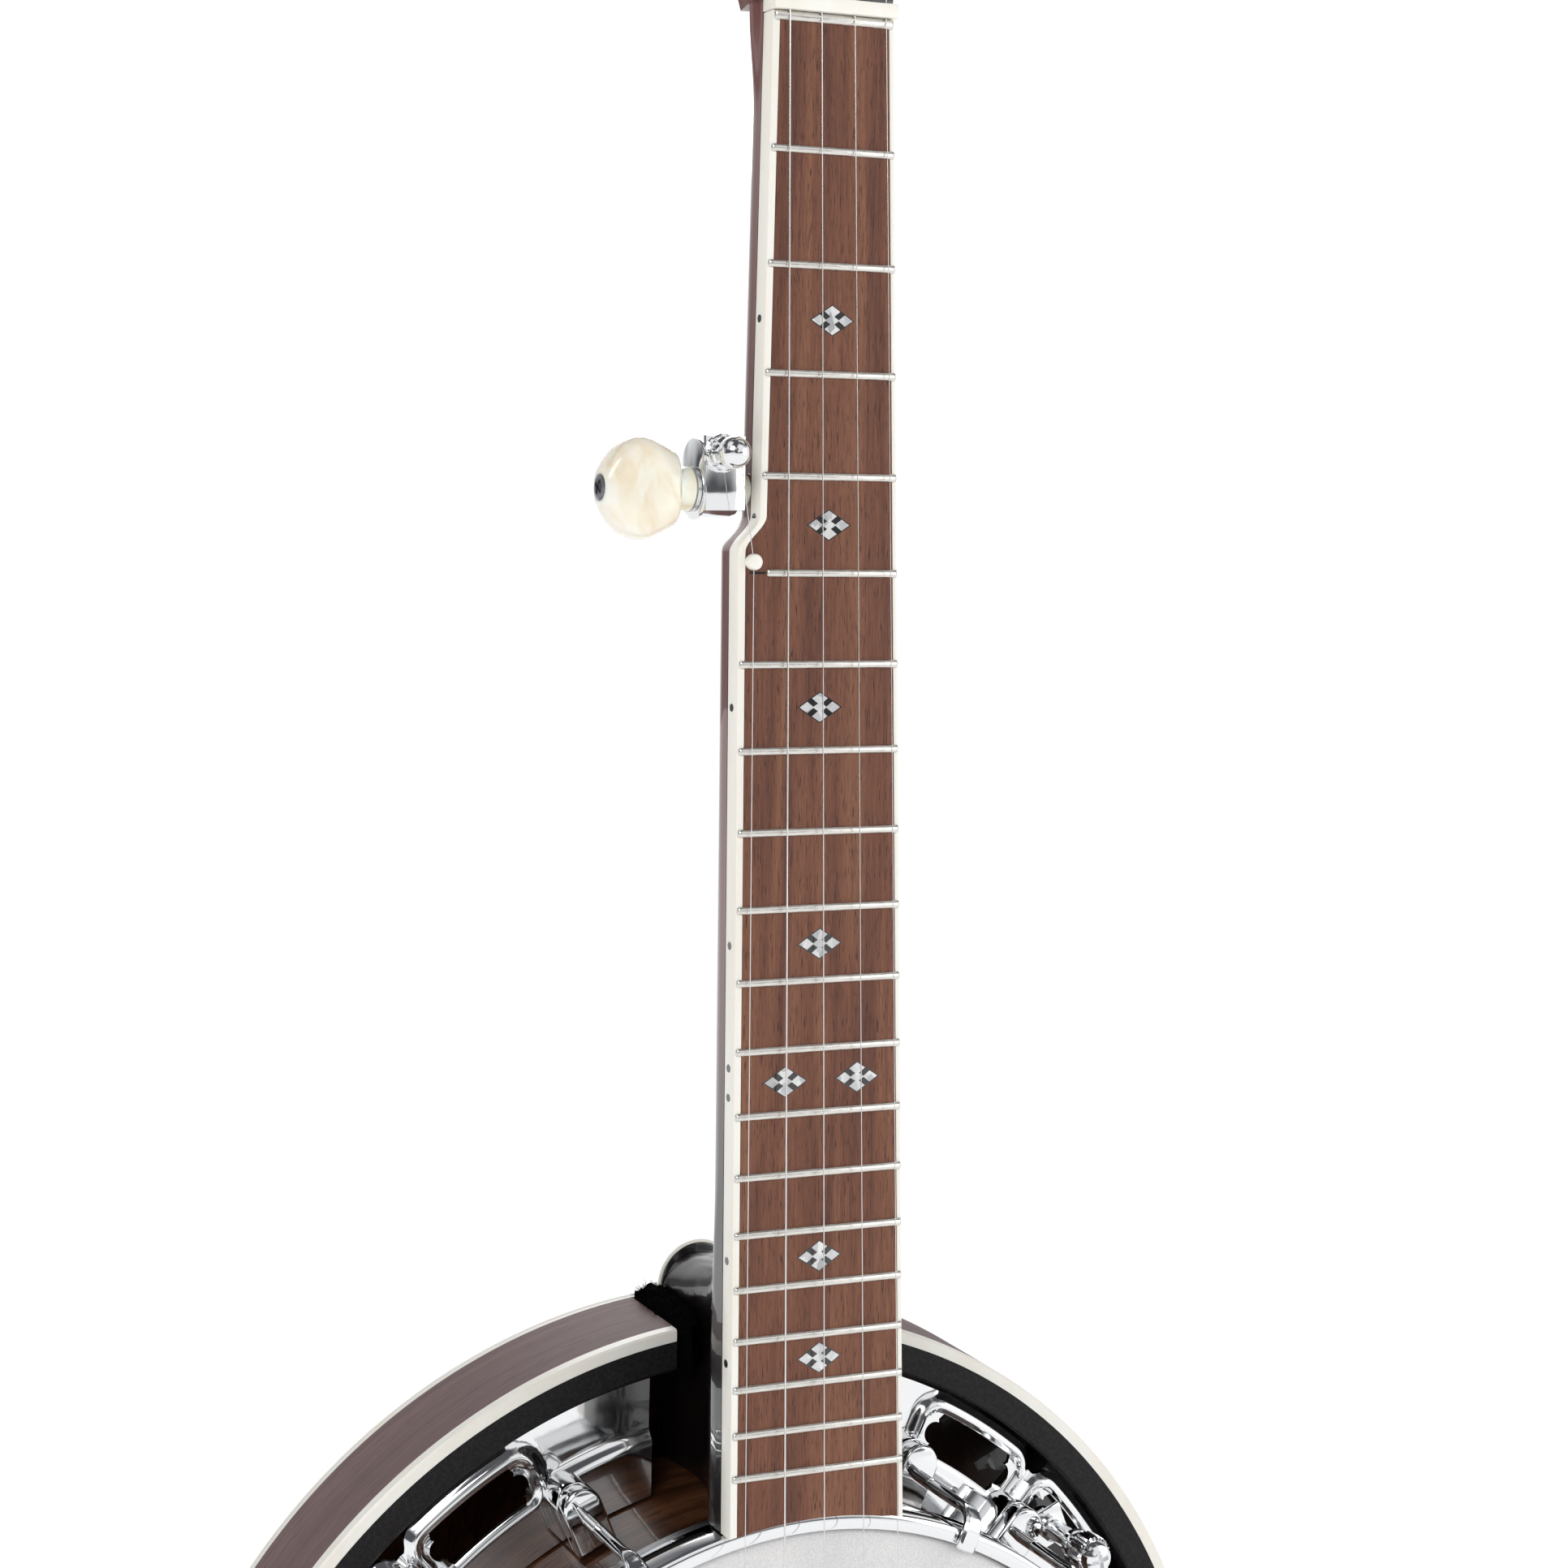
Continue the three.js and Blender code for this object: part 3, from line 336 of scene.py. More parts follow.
def wood_grain(shader, vector, across, along_axis, bands, pores):
    """Broad bands, fine streaks and dark pores that run along one axis of a vector."""
    def scale(fine, coarse):
        return tuple(coarse if i == along_axis else fine for i in range(3))
    broad = shader.noise(shader.stretched(scale(bands, bands * 0.03), vector), 3, 0.6, 0.8)
    streaks = shader.noise(shader.stretched(scale(across, across * 0.012), vector), 4, 0.7, 0.2)
    dashes = shader.noise(shader.stretched(scale(pores, pores * 0.05), vector), 2, 0.5)
    return broad, streaks, dashes


def wood_colour(shader, grain, tones, streak, share, pore, dark):
    """Wood coloured by its bands, its streaks and its pores."""
    broad, streaks, dashes = grain
    base = shader.ramp(broad, *tones)
    fine = shader.ramp(streaks, *streak)
    mixed = shader.mix(share, base, fine, "MULTIPLY")
    return shader.mix(shader.ramp(dashes, *pore), mixed, dark)


def board_material():
    shader = Shader("board_wood", Roughness=0.6, Specular_IOR_Level=0.3)
    broad, streaks, dashes = wood_grain(shader, shader.coords, 2200, 2, 140, 3400)
    tones = (0.28, (0.120, 0.046, 0.030)), (0.48, (0.200, 0.078, 0.046)), (0.72, (0.270, 0.118, 0.066))
    wood = wood_colour(shader, (broad, streaks, dashes), tones, ((0.30, 0.55), (0.64, 1.0)), 0.8,
                       ((0.33, 0.9), (0.40, 0.0)), (0.050, 0.018, 0.012))
    shader.link(wood, "Base Color")
    shader.rough(streaks, (0.3, 0.62), (0.7, 0.42))
    shader.bump(shader.ramp(dashes, (0.36, 0.0), (0.46, 1.0)), 0.5, 0.1)
    return shader.bump(streaks, 0.25, 0.06).material


def neck_material():
    shader = Shader("neck_wood", Roughness=0.35).coat(1.0, 0.02)
    broad, streaks, _ = wood_grain(shader, shader.coords, 700, 2, 60, 2000)
    base = shader.ramp(broad, (0.3, (0.130, 0.048, 0.044)), (0.7, (0.220, 0.086, 0.076)))
    fine = shader.ramp(streaks, (0.35, 0.5), (0.65, 1.0))
    shaded = shader.mix(0.8, base, fine, "MULTIPLY")
    height = shader.nodes.new("ShaderNodeSeparateXYZ")
    shader.links.new(shader.coords, height.inputs[0])
    burst = shader.ramp(height.outputs[2], (0.24, 1.0), (0.34, 0.0))
    shader.link(shader.mix(burst, shaded, (0.006, 0.004, 0.004)), "Base Color")
    ripple = shader.noise(shader.stretched((60, 60, 18)), 2)
    return shader.bump(ripple, 0.08, 0.3).material


def rim_material():
    shader = Shader("rim_wood", Roughness=0.3).coat(1.0, 0.02)
    around, _, _ = shader.round_the_pot()
    broad, streaks, dashes = wood_grain(shader, around, 1100, 0, 160, 2400)
    tones = (0.3, (0.040, 0.014, 0.007)), (0.5, (0.115, 0.043, 0.018)), (0.72, (0.210, 0.088, 0.040))
    wood = wood_colour(shader, (broad, streaks, dashes), tones, ((0.34, 0.35), (0.62, 1.0)), 0.85,
                       ((0.38, 1.0), (0.45, 0.0)), (0.02, 0.008, 0.005))
    shader.link(wood, "Base Color")
    return shader.bump(streaks, 0.15, 0.05).material


def resonator_side_material():
    """Stained wood on the outside, black on the front lip and inside."""
    shader = Shader("resonator_wood", Roughness=0.45)
    around, radius, _ = shader.round_the_pot()
    broad, streaks, dashes = wood_grain(shader, around, 800, 0, 70, 2200)
    tones = (0.3, (0.190, 0.120, 0.119)), (0.5, (0.222, 0.142, 0.139)), (0.72, (0.260, 0.165, 0.155))
    wood = wood_colour(shader, (broad, streaks, dashes), tones, ((0.30, 0.78), (0.62, 1.0)), 0.8,
                       ((0.36, 0.5), (0.44, 0.0)), (0.10, 0.065, 0.065))
    inside = shader.ramp(radius, (0.1878, 1.0), (0.1884, 0.0))
    dust = shader.noise(shader.stretched((900, 900, 900)), 3)
    black = shader.ramp(dust, (0.4, (0.008, 0.007, 0.008)), (0.8, (0.022, 0.019, 0.021)))
    shader.link(shader.mix(inside, wood, black), "Base Color")
    shader.link(shader.mix(inside, shader.ramp(streaks, (0.3, 0.62), (0.7, 0.5)), 0.5), "Roughness")
    shader.link(shader.mix(inside, 0.35, 0.2), "Specular IOR Level")
    return shader.bump(streaks, 0.2, 0.05).material


def back_material():
    """Glossy wood shaded from amber brown in the middle to near black at the edge."""
    shader = Shader("back_wood", Roughness=0.35).coat(1.0, 0.03)
    _, radius, _ = shader.round_the_pot()
    broad, streaks, dashes = wood_grain(shader, shader.coords, 700, 2, 45, 2200)
    tones = (0.3, (0.120, 0.036, 0.016)), (0.5, (0.215, 0.072, 0.028)), (0.72, (0.310, 0.120, 0.046))
    wood = wood_colour(shader, (broad, streaks, dashes), tones, ((0.34, 0.5), (0.62, 1.0)), 0.85,
                       ((0.38, 0.8), (0.46, 0.0)), (0.03, 0.012, 0.008))
    edge = shader.ramp(radius, (0.1, 0.0), (0.15, 0.45), (0.18, 1.0))
    shader.link(shader.mix(edge, wood, (0.012, 0.006, 0.006)), "Base Color")
    return shader.bump(streaks, 0.12, 0.05).material


def ivory_material():
    shader = Shader("ivory", Roughness=0.32)
    tint = shader.noise(shader.stretched((60, 60, 12)), 3)
    shader.colour(tint, (0.3, (0.90, 0.855, 0.765)), (0.7, (0.96, 0.94, 0.88)))
    shader.bsdf.inputs["Subsurface Weight"].default_value = 0.15
    shader.bsdf.inputs["Subsurface Scale"].default_value = 0.002
    scraped = shader.noise(shader.stretched((1400, 1400, 120)), 3)
    return shader.bump(scraped, 0.15, 0.04).material


def black_material():
    shader = Shader("black_lacquer", Roughness=0.2).coat(1.0, 0.02)
    depth = shader.noise(shader.stretched((90, 90, 90)), 3)
    shader.colour(depth, (0.3, (0.004, 0.004, 0.005)), (0.7, (0.014, 0.012, 0.013)))
    return shader.bump(depth, 0.06, 0.3).material


def cream_material():
    """Pearly cream plastic with soft swirls."""
    shader = Shader("cream", Roughness=0.22).coat(0.6, 0.05)
    swirl = shader.noise(shader.stretched((110, 60, 60)), 3, 0.5, 1.6)
    tint = shader.ramp(
        swirl, (0.32, (0.86, 0.76, 0.58)), (0.5, (0.92, 0.86, 0.72)), (0.7, (0.95, 0.92, 0.83))
    )
    shader.link(tint, "Base Color")
    shader.bsdf.inputs["Subsurface Weight"].default_value = 0.35
    shader.bsdf.inputs["Subsurface Scale"].default_value = 0.004
    return shader.bump(swirl, 0.06, 0.3).material


def mylar_material():
    """A frosted white coating with fine grains."""
    shader = Shader("mylar", Roughness=0.62)
    grains = shader.noise(shader.stretched((2600, 2600, 2600)), 3, 0.7)
    blotches = shader.noise(shader.stretched((30, 30, 30)), 4)
    tone = shader.ramp(blotches, (0.3, (0.75, 0.745, 0.745)), (0.7, (0.84, 0.83, 0.825)))
    speck = shader.ramp(grains, (0.35, 0.72), (0.6, 1.0))
    shader.link(shader.mix(0.8, tone, speck, "MULTIPLY"), "Base Color")
    return shader.bump(grains, 0.6, 0.12).material


def felt_material():
    shader = Shader("felt", Base_Color=(0.004, 0.004, 0.004, 1), Roughness=1.0)
    shader.bsdf.inputs["Specular IOR Level"].default_value = 0.03
    fibres = shader.noise(shader.stretched((1800, 1800, 1800)), 5, 0.7, 1.0)
    shader.colour(fibres, (0.4, (0.001, 0.001, 0.001)), (0.75, (0.006, 0.006, 0.006)))
    return shader.bump(fibres, 1.0, 0.6).material


def maple_material():
    shader = Shader("maple", Roughness=0.5)
    broad, streaks, _ = wood_grain(shader, shader.coords, 1500, 0, 200, 2200)
    base = shader.ramp(broad, (0.3, (0.50, 0.31, 0.15)), (0.7, (0.66, 0.45, 0.25)))
    shader.link(shader.mix(0.5, base, shader.ramp(streaks, (0.3, 0.6), (0.7, 1.0)), "MULTIPLY"), "Base Color")
    return shader.bump(streaks, 0.2, 0.05).material


def ebony_material():
    shader = Shader("ebony", Roughness=0.4)
    _, streaks, _ = wood_grain(shader, shader.coords, 1800, 0, 200, 2200)
    shader.colour(streaks, (0.3, (0.008, 0.006, 0.005)), (0.7, (0.028, 0.019, 0.014)))
    return shader.bump(streaks, 0.2, 0.05).material


def pearl_material():
    """Shell whose small plates each reflect a slightly different grey."""
    shader = Shader("pearl", Roughness=0.25).coat(0.5, 0.05)
    colour, _ = shader.cells(shader.stretched((420, 420, 260)))
    grey = shader.nodes.new("ShaderNodeRGBToBW")
    shader.links.new(colour, grey.inputs[0])
    plates = shader.ramp(
        grey.outputs[0], (0.2, (0.44, 0.45, 0.46)), (0.5, (0.70, 0.71, 0.72)), (0.8, (0.86, 0.86, 0.84))
    )
    ripples = shader.noise(shader.stretched((500, 500, 900)), 4, 0.6, 2.0)
    shading = shader.ramp(ripples, (0.3, 0.55), (0.7, 1.0))
    shader.link(shader.mix(0.35, plates, shading, "MULTIPLY"), "Base Color")
    shader.bsdf.inputs["Metallic"].default_value = 0.25
    return shader.material


def dark_steel_material():
    shader = Shader("dark_steel", Metallic=1.0, Roughness=0.3)
    worn = shader.noise(shader.stretched((900, 900, 900)), 4)
    shader.colour(worn, (0.3, (0.10, 0.10, 0.11)), (0.7, (0.26, 0.26, 0.27)))
    return shader.bump(worn, 0.3, 0.05).material


CHROME = chrome_material()
NICKEL = nickel_material()
STEEL = steel_material()
STRING = string_material()
BRASS = brass_material()
ALUMINIUM = aluminium_material()
BOARD = board_material()
NECK_WOOD = neck_material()
RIM_WOOD = rim_material()
SIDE_WOOD = resonator_side_material()
BACK_WOOD = back_material()
IVORY = ivory_material()
BLACK = black_material()
CREAM = cream_material()
MYLAR = mylar_material()
FELT = felt_material()
MAPLE = maple_material()
EBONY = ebony_material()
PEARL = pearl_material()
DARK_STEEL = dark_steel_material()
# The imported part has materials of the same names, so Blender numbers these after a dot.
SLOTS = {
    material.name: material.name.split(".")[0]
    for material in (CHROME, NICKEL, STEEL, STRING, BRASS, ALUMINIUM, BOARD, NECK_WOOD, RIM_WOOD,
                     SIDE_WOOD, BACK_WOOD, IVORY, BLACK, CREAM, MYLAR, FELT, MAPLE, EBONY)
}
SLOTS[DARK_STEEL.name] = "steel"

# ---------------------------------------------------------------- mesh helpers


def piece(name, points, faces, material, body="root", place=WORLD, replaces=(), crease=32, cuts=()):
    """A mesh piece from millimetre points in a frame, smooth where its faces meet gently."""
    mesh = bpy.data.meshes.new(name)
    mesh.from_pydata([(place @ Vector(point)) * MM for point in points], [], faces)
    mesh.materials.append(material)
    bm = bmesh.new()
    bm.from_mesh(mesh)
    bmesh.ops.remove_doubles(bm, verts=bm.verts, dist=1e-7)
    bmesh.ops.recalc_face_normals(bm, faces=bm.faces)
    bm.to_mesh(mesh)
    bm.free()
    obj = bpy.data.objects.new(name, mesh)
    bpy.context.scene.collection.objects.link(obj)
    for cutter in cuts:
        subtract(obj, cutter)
    obj.data.polygons.foreach_set("use_smooth", [True] * len(obj.data.polygons))
    obj.data.set_sharp_from_angle(angle=math.radians(crease))
    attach(obj, body)
    if replaces:
        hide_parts(*replaces)
    return obj


def bare(points, faces, place=WORLD):
    """A loose object to cut with."""
    mesh = bpy.data.meshes.new("cutter")
    mesh.from_pydata([(place @ Vector(point)) * MM for point in points], [], faces)
    bm = bmesh.new()
    bm.from_mesh(mesh)
    bmesh.ops.recalc_face_normals(bm, faces=bm.faces)
    bm.to_mesh(mesh)
    bm.free()
    obj = bpy.data.objects.new("cutter", mesh)
    bpy.context.scene.collection.objects.link(obj)
    return obj


def finished(obj):
    """Applies the modifiers of an object to its mesh."""
    graph = bpy.context.evaluated_depsgraph_get()
    mesh = bpy.data.meshes.new_from_object(obj.evaluated_get(graph))
    obj.modifiers.clear()
    obj.data = mesh
    return obj


def subtract(obj, cutter):
    modifier = obj.modifiers.new("cut", "BOOLEAN")
    modifier.operation = "DIFFERENCE"
    modifier.solver = "EXACT"
    modifier.object = cutter
    finished(obj)
    bpy.data.objects.remove(cutter)


def merged(*shapes):
    """One list of points and faces from several."""
    points, faces = [], []
    for shape_points, shape_faces in shapes:
        start = len(points)
        points += [Vector(point) for point in shape_points]
        faces += [tuple(start + i for i in face) for face in shape_faces]
    return points, faces


def moved(shape, matrix):
    points, faces = shape
    return [matrix @ Vector(point) for point in points], faces


def loft(rings, closed=False):
    """Points and faces of a skin through rings with the same number of points."""
    count = len(rings[0])
    points = [Vector(point) for ring in rings for point in ring]
    faces = []
    spans = len(rings) if closed else len(rings) - 1
    for i in range(spans):
        a, b = i * count, (i + 1) % len(rings) * count
        for j in range(count):
            k = (j + 1) % count
            faces.append((a + j, a + k, b + k, b + j))
    if not closed:
        faces.append(tuple(range(count)))
        faces.append(tuple(range(len(points) - count, len(points))))
    return points, faces


def turned(profile, segments=192, closed=True):
    """A body turned about the Y axis from [radius, y] pairs. A profile that isn't closed starts
    and ends on the axis."""
    if closed:
        turns = [2 * math.pi * i / segments for i in range(segments)]
        return loft([[(r * math.sin(t), y, r * math.cos(t)) for r, y in profile] for t in turns], True)
    inner = [(max(r, 1e-4), y) for r, y in profile]
    turns = [2 * math.pi * i / segments for i in range(segments)]
    return loft([[(r * math.sin(t), y, r * math.cos(t)) for t in turns] for r, y in inner])


def plate(outline, front, back, bevel=0.0, steps=2):
    """A flat body from an [x, z] outline between two y positions, with rounded edges."""
    levels = [(front + bevel * (1 - math.cos(a)), bevel * (1 - math.sin(a)))
              for a in [math.pi / 2 * i / steps for i in range(steps + 1)]] if bevel else [(front, 0)]
    ends = [(back - (y - front), inset) for y, inset in reversed(levels)]
    return loft([[(x, y, z) for x, z in inset_outline(outline, inset)] for y, inset in levels + ends])


def slab(left, right, low, high, front, back, bevel=0.0):
    """A block between two x, two z and two y positions."""
    return plate([(left, low), (right, low), (right, high), (left, high)], front, back, bevel)


def inset_outline(outline, inset):
    """The outline moved inwards by a small distance, point by point."""
    if not inset:
        return outline
    area = sum(a[0] * b[1] - b[0] * a[1] for a, b in zip(outline, outline[1:] + outline[:1]))
    sign = 1 if area > 0 else -1
    moved_points = []
    for i, (x, z) in enumerate(outline):
        before, after = Vector(outline[i - 1]), Vector(outline[(i + 1) % len(outline)])
        here = Vector((x, z))
        one, two = (here - before).normalized(), (after - here).normalized()
        normal = Vector((-(one.y + two.y), one.x + two.x)) * sign
        length = max(normal.length, 1e-6)
        moved_points.append(tuple(here + normal / length * inset / max(length / 2, 0.5)))
    return moved_points


def polar(radius, degrees):
    return radius * math.sin(math.radians(degrees)), radius * math.cos(math.radians(degrees))


def arc(radius, start, end, steps):
    return [polar(radius, lerp(start, end, i / steps)) for i in range(steps + 1)]


def hexagon(radius, z=0):
    return [(radius * math.sin(math.pi / 3 * i), z + radius * math.cos(math.pi / 3 * i)) for i in range(6)]


def tube(path, radius, sides=12, closed=False):
    """A round wire along a path; radius is one number or one per point."""
    path = [Vector(point) for point in path]
    radii = radius if isinstance(radius, list) else [radius] * len(path)
    count = len(path)
    tangents = []
    for i in range(count):
        before = path[i - 1] if closed or i else path[0]
        after = path[(i + 1) % count] if closed or i < count - 1 else path[-1]
        tangents.append((after - before).normalized())
    normal = tangents[0].orthogonal().normalized()
    rings = []
    for point, tangent, size in zip(path, tangents, radii):
        normal = (normal - tangent * normal.dot(tangent)).normalized()
        side = tangent.cross(normal)
        rings.append([point + (normal * math.cos(a) + side * math.sin(a)) * size
                      for a in [2 * math.pi * j / sides for j in range(sides)]])
    return loft(rings, closed)


def along_x(shape):
    """Turns a shape made about the Y axis so that its +Y end points to +X."""
    return moved(shape, Matrix.Rotation(-math.pi / 2, 4, "Z"))


def screw_head(radius, depth, sides=24):
    """A domed head with a recessed cross, centred on the origin and facing -Y."""
    dome = turned([(0, -depth), (radius * 0.5, -depth * 0.93), (radius * 0.85, -depth * 0.6),
                   (radius, -depth * 0.1), (radius, 0.4), (0, 0.4)], sides, closed=False)
    half, reach = radius * 0.13, radius * 0.58
    arms = [slab(-half, half, -reach, reach, -depth - 1, -depth * 0.35)
            for _ in range(2)]
    arms[1] = moved(arms[1], Matrix.Rotation(math.pi / 2, 4, "Y"))
    return dome, arms


# ---------------------------------------------------------------- fretboard


def treble_edge(distance):
    return lerp(TREBLE_AT_NUT, TREBLE_AT_POT, distance / BOARD_LENGTH)


def bass_edge(distance):
    above = lerp(BASS_AT_NUT, BASS_AT_STEP, distance / STEP_START)
    below = lerp(BASS_BELOW_STEP, BASS_AT_POT, (distance - STEP_END) / (BOARD_LENGTH - STEP_END))
    return lerp(above, below, smooth(distance, STEP_START, STEP_END))


SIDES = {-1: (bass_edge, BASS_AT_POT, BASS_BINDING), 1: (treble_edge, TREBLE_AT_POT, TREBLE_BINDING)}


def board_stations():
    step = [STEP_START + (STEP_END - STEP_START) * i / 20 for i in range(21)]
    return [-BOARD_START, 60, 120] + step + [200, 300, 400]


def pot_end(x):
    """Distance from the zero fret to the board's hollow end against the hoop."""
    return ZERO_FRET_Z - math.sqrt((HOOP_OUTER + 0.8) ** 2 - x * x)


def board_outline(bass_margin, treble_margin):
    bass = [(-(bass_edge(s) + bass_margin), -s) for s in board_stations()]
    treble = [(treble_edge(s) + treble_margin, -s) for s in board_stations()]
    left = -(BASS_AT_POT + bass_margin)
    right = TREBLE_AT_POT + treble_margin
    end = [(lerp(left, right, i / 16), -pot_end(lerp(left, right, i / 16))) for i in range(17)]
    return bass + end + treble[::-1]


def strip_outline(side):
    edge, at_pot, width = SIDES[side]
    inner = [(side * edge(s), -s) for s in board_stations()]
    outer = [(side * (edge(s) + width), -s) for s in board_stations()]
    ends = [(side * (at_pot + m), -pot_end(at_pot + m)) for m in (0, width)]
    return inner + ends + outer[::-1]


def fret_distance(number):
    return SCALE_LENGTH * (1 - 2 ** (-number / 12))


def fret(left, right, half_width, height):
    """A crowned wire across the board whose ends slope down."""
    stations = [(left, 0.25), (left + 0.35, 0.8), (left + 1.1, 1), (right - 1.1, 1),
                (right - 0.35, 0.8), (right, 0.25)]
    section = [(math.cos(a), math.sin(a)) for a in [math.pi * i / 10 for i in range(11)]]
    return loft([[(x, 0.15 - (height + 0.15) * share * up, half_width * (0.55 + 0.45 * share) * across)
                  for across, up in section] for x, share in stations])


def add_frets():
    points = fret(-BASS_AT_NUT - BASS_BINDING + 0.3, TREBLE_AT_NUT + TREBLE_BINDING - 0.3, 1.6, FRET_HEIGHT)
    ahead = NECK @ shift(0, 0, ZERO_FRET_AHEAD)
    piece("zero_fret_crown", *points, NICKEL, place=ahead, replaces=["zero_fret"], crease=50)
    for number in range(1, FRET_COUNT + 1):
        s = fret_distance(number)
        left = -(bass_edge(s) + BASS_BINDING - 0.4) if number != 5 else -20.8
        right = treble_edge(s) + TREBLE_BINDING - 0.15
        place = NECK @ shift(0, 0, -s)
        piece(f"fret_{number:02}", *fret(left, right, 1.3, 1.05), NICKEL, place=place, crease=50)
    slot = slab(-26.6, -21.2, -0.35, 0.35, -0.04, 0.3)
    place = NECK @ shift(0, 0, -fret_distance(5))
    piece("fifth_fret_slot", *slot, BLACK, place=place)


def add_inlay(name, x, s):
    """A pearl diamond crossed by four short black bars, in a thin black outline."""
    across, along = 7.25, 4.6
    half_bar, bar_length = 0.95, 2.7
    place = NECK @ shift(x, 0, -s)
    def diamond(share):
        return [(across * share, 0), (0, along * share), (-across * share, 0), (0, -along * share)]
    piece(f"inlay_outline_{name}", *plate(diamond(1.06), -0.03, 0.5), BLACK, place=place)
    piece(f"inlay_pearl_{name}", *plate(diamond(0.98), -0.06, 0.5), PEARL, place=place)
    bars = []
    for side in (1, -1):
        for end in (1, -1):
            middle = Vector((across * side / 2, along * end / 2))
            edge = Vector((side * across, -end * along)).normalized()
            skew = Vector((-side * 0.80, -end * 0.60)).normalized()
            a = middle + edge * half_bar
            b = middle - edge * half_bar
            corners = [a, b, b + skew * bar_length, a + skew * bar_length]
            bars.append(plate([tuple(corner) for corner in corners], -0.09, 0.4))
    piece(f"inlay_bars_{name}", *merged(*bars), BLACK, place=place)


def add_inlays():
    for number in MARKED_FRETS:
        s = (fret_distance(number - 1) + fret_distance(number)) / 2
        for i, x in enumerate((-12.5, 12.5) if number == 12 else (0,)):
            add_inlay(f"{number:02}_{i + 1}", x if number == 12 else inlay_centre(s), s)


def inlay_centre(s):
    """The inlays follow the middle of the board between the two bindings."""
    return (treble_edge(s) - bass_edge(s)) / 2


def add_side_dots():
    """Dots on the bass binding. The one by the fifth tuner sits on the edge of the step."""
    dots = []
    for number in MARKED_FRETS:
        s = 150.3 if number == 5 else (fret_distance(number - 1) + fret_distance(number)) / 2
        for offset in ((-4.5, 4.5) if number == 12 else (0,)):
            x = -(bass_edge(s + offset) + BASS_BINDING)
            dot = along_x(turned([(0, -0.06), (1.25, -0.06), (1.25, 0.5), (0, 0.5)], 24, closed=False))
            dots.append(moved(dot, shift(x, 3.9, -s - offset)))
    piece("side_dots", *merged(*dots), BLACK, place=NECK)


def add_fretboard():
    board = plate(board_outline(-0.03, -0.03), 0, BOARD_THICKNESS)
    piece("fretboard_wood", *board, BOARD, place=NECK, replaces=["fretboard"])
    for name, side in (("bass", -1), ("treble", 1)):
        strip = plate(strip_outline(side), 0, BOARD_THICKNESS, 0.25)
        piece(f"binding_strip_{name}", *strip, IVORY, place=NECK, replaces=[f"binding_{name}"])
    left = -(BASS_AT_NUT + BASS_BINDING + NUT_OVERHANG)
    right = TREBLE_AT_NUT + TREBLE_BINDING + NUT_OVERHANG
    start = BOARD_START + 0.2
    nut = slab(left, right, start, NUT_END, -2.3, BOARD_THICKNESS - 0.4, 0.5)
    cuts = [bare(*tube([(STRINGS[number][0], -1.2, start + along) for along in (-3, 2, 8)], 0.55, 8), NECK)
            for number in (1, 2, 3, 4)]
    piece("nut_shaped", *nut, IVORY, place=NECK, replaces=["nut"], cuts=cuts)
    pip = turned([(0, -2.9), (1.4, -2.85), (2.2, -2.5), (2.5, -1.9), (2.5, 0.2), (0, 0.2)], 32, closed=False)
    slot = [bare(*tube([(-26, -2.0, PIP_Z - 4), (-26, -2.0, PIP_Z + 4)], 0.3, 8), NECK)]
    piece("pip_shaped", *moved(pip, shift(-25.6, 0, PIP_Z)), IVORY, place=NECK,
          replaces=["fifth_string_pip"], cuts=slot)


# ---------------------------------------------------------------- neck

HEEL_HALF = [(-97.6, 25.5), (-90, 23.2), (-84, 21), (-78, 19.3), (-70, 16.8), (-60, 13.5), (-52, 11.2),
             (-42, 11.3), (-32, 12.5), (-22.2, 13.8)]
HEEL_TIP = [(-97.6, 262), (-90, 260), (-84, 254), (-78, 243), (-70, 230), (-60, 219), (-52, 214),
            (-42, 211), (-32, 209), (-22.2, 208)]
HEEL_ROUNDING = [(-97.6, 80), (-90, 76), (-84, 66), (-78, 52), (-70, 36), (-60, 22), (-52, 15),
                 (-42, 13), (-32, 13), (-22.2, 14)]
HEEL_BACK = -22.2


def heel_half(y, z):
    """Half width of the heel at a depth and a height in the part's frame."""
    tip, rounding = through(HEEL_TIP, y), through(HEEL_ROUNDING, y)
    past = (z - tip + rounding) / rounding
    if past >= 1 or y > HEEL_BACK:
        return 0.0
    return through(HEEL_HALF, y) * math.sqrt(1 - max(past, 0) ** 2)


def heel_bottom(z):
    """How far back the heel reaches at a height."""
    if z <= HEEL_TIP[-1][1]:
        return HEEL_BACK
    for (a, tip_a), (b, tip_b) in zip(HEEL_TIP, HEEL_TIP[1:]):
        if tip_b <= z <= tip_a:
            return lerp(a, b, (tip_a - z) / (tip_a - tip_b))
    return HEEL_TIP[0][0]


def shaft_half(edge, y, distance):
    """Half width of the neck's shaft at a depth below the board's face."""
    top = BOARD_THICKNESS + 0.2
    straight = 2.5
    depth = lerp(21, 26, distance / BOARD_LENGTH)
    if y <= top + straight:
        return edge
    share = (y - top - straight) / (depth - top - straight)
    return edge * math.sqrt(max(1 - min(share, 1) ** 2.5, 0))


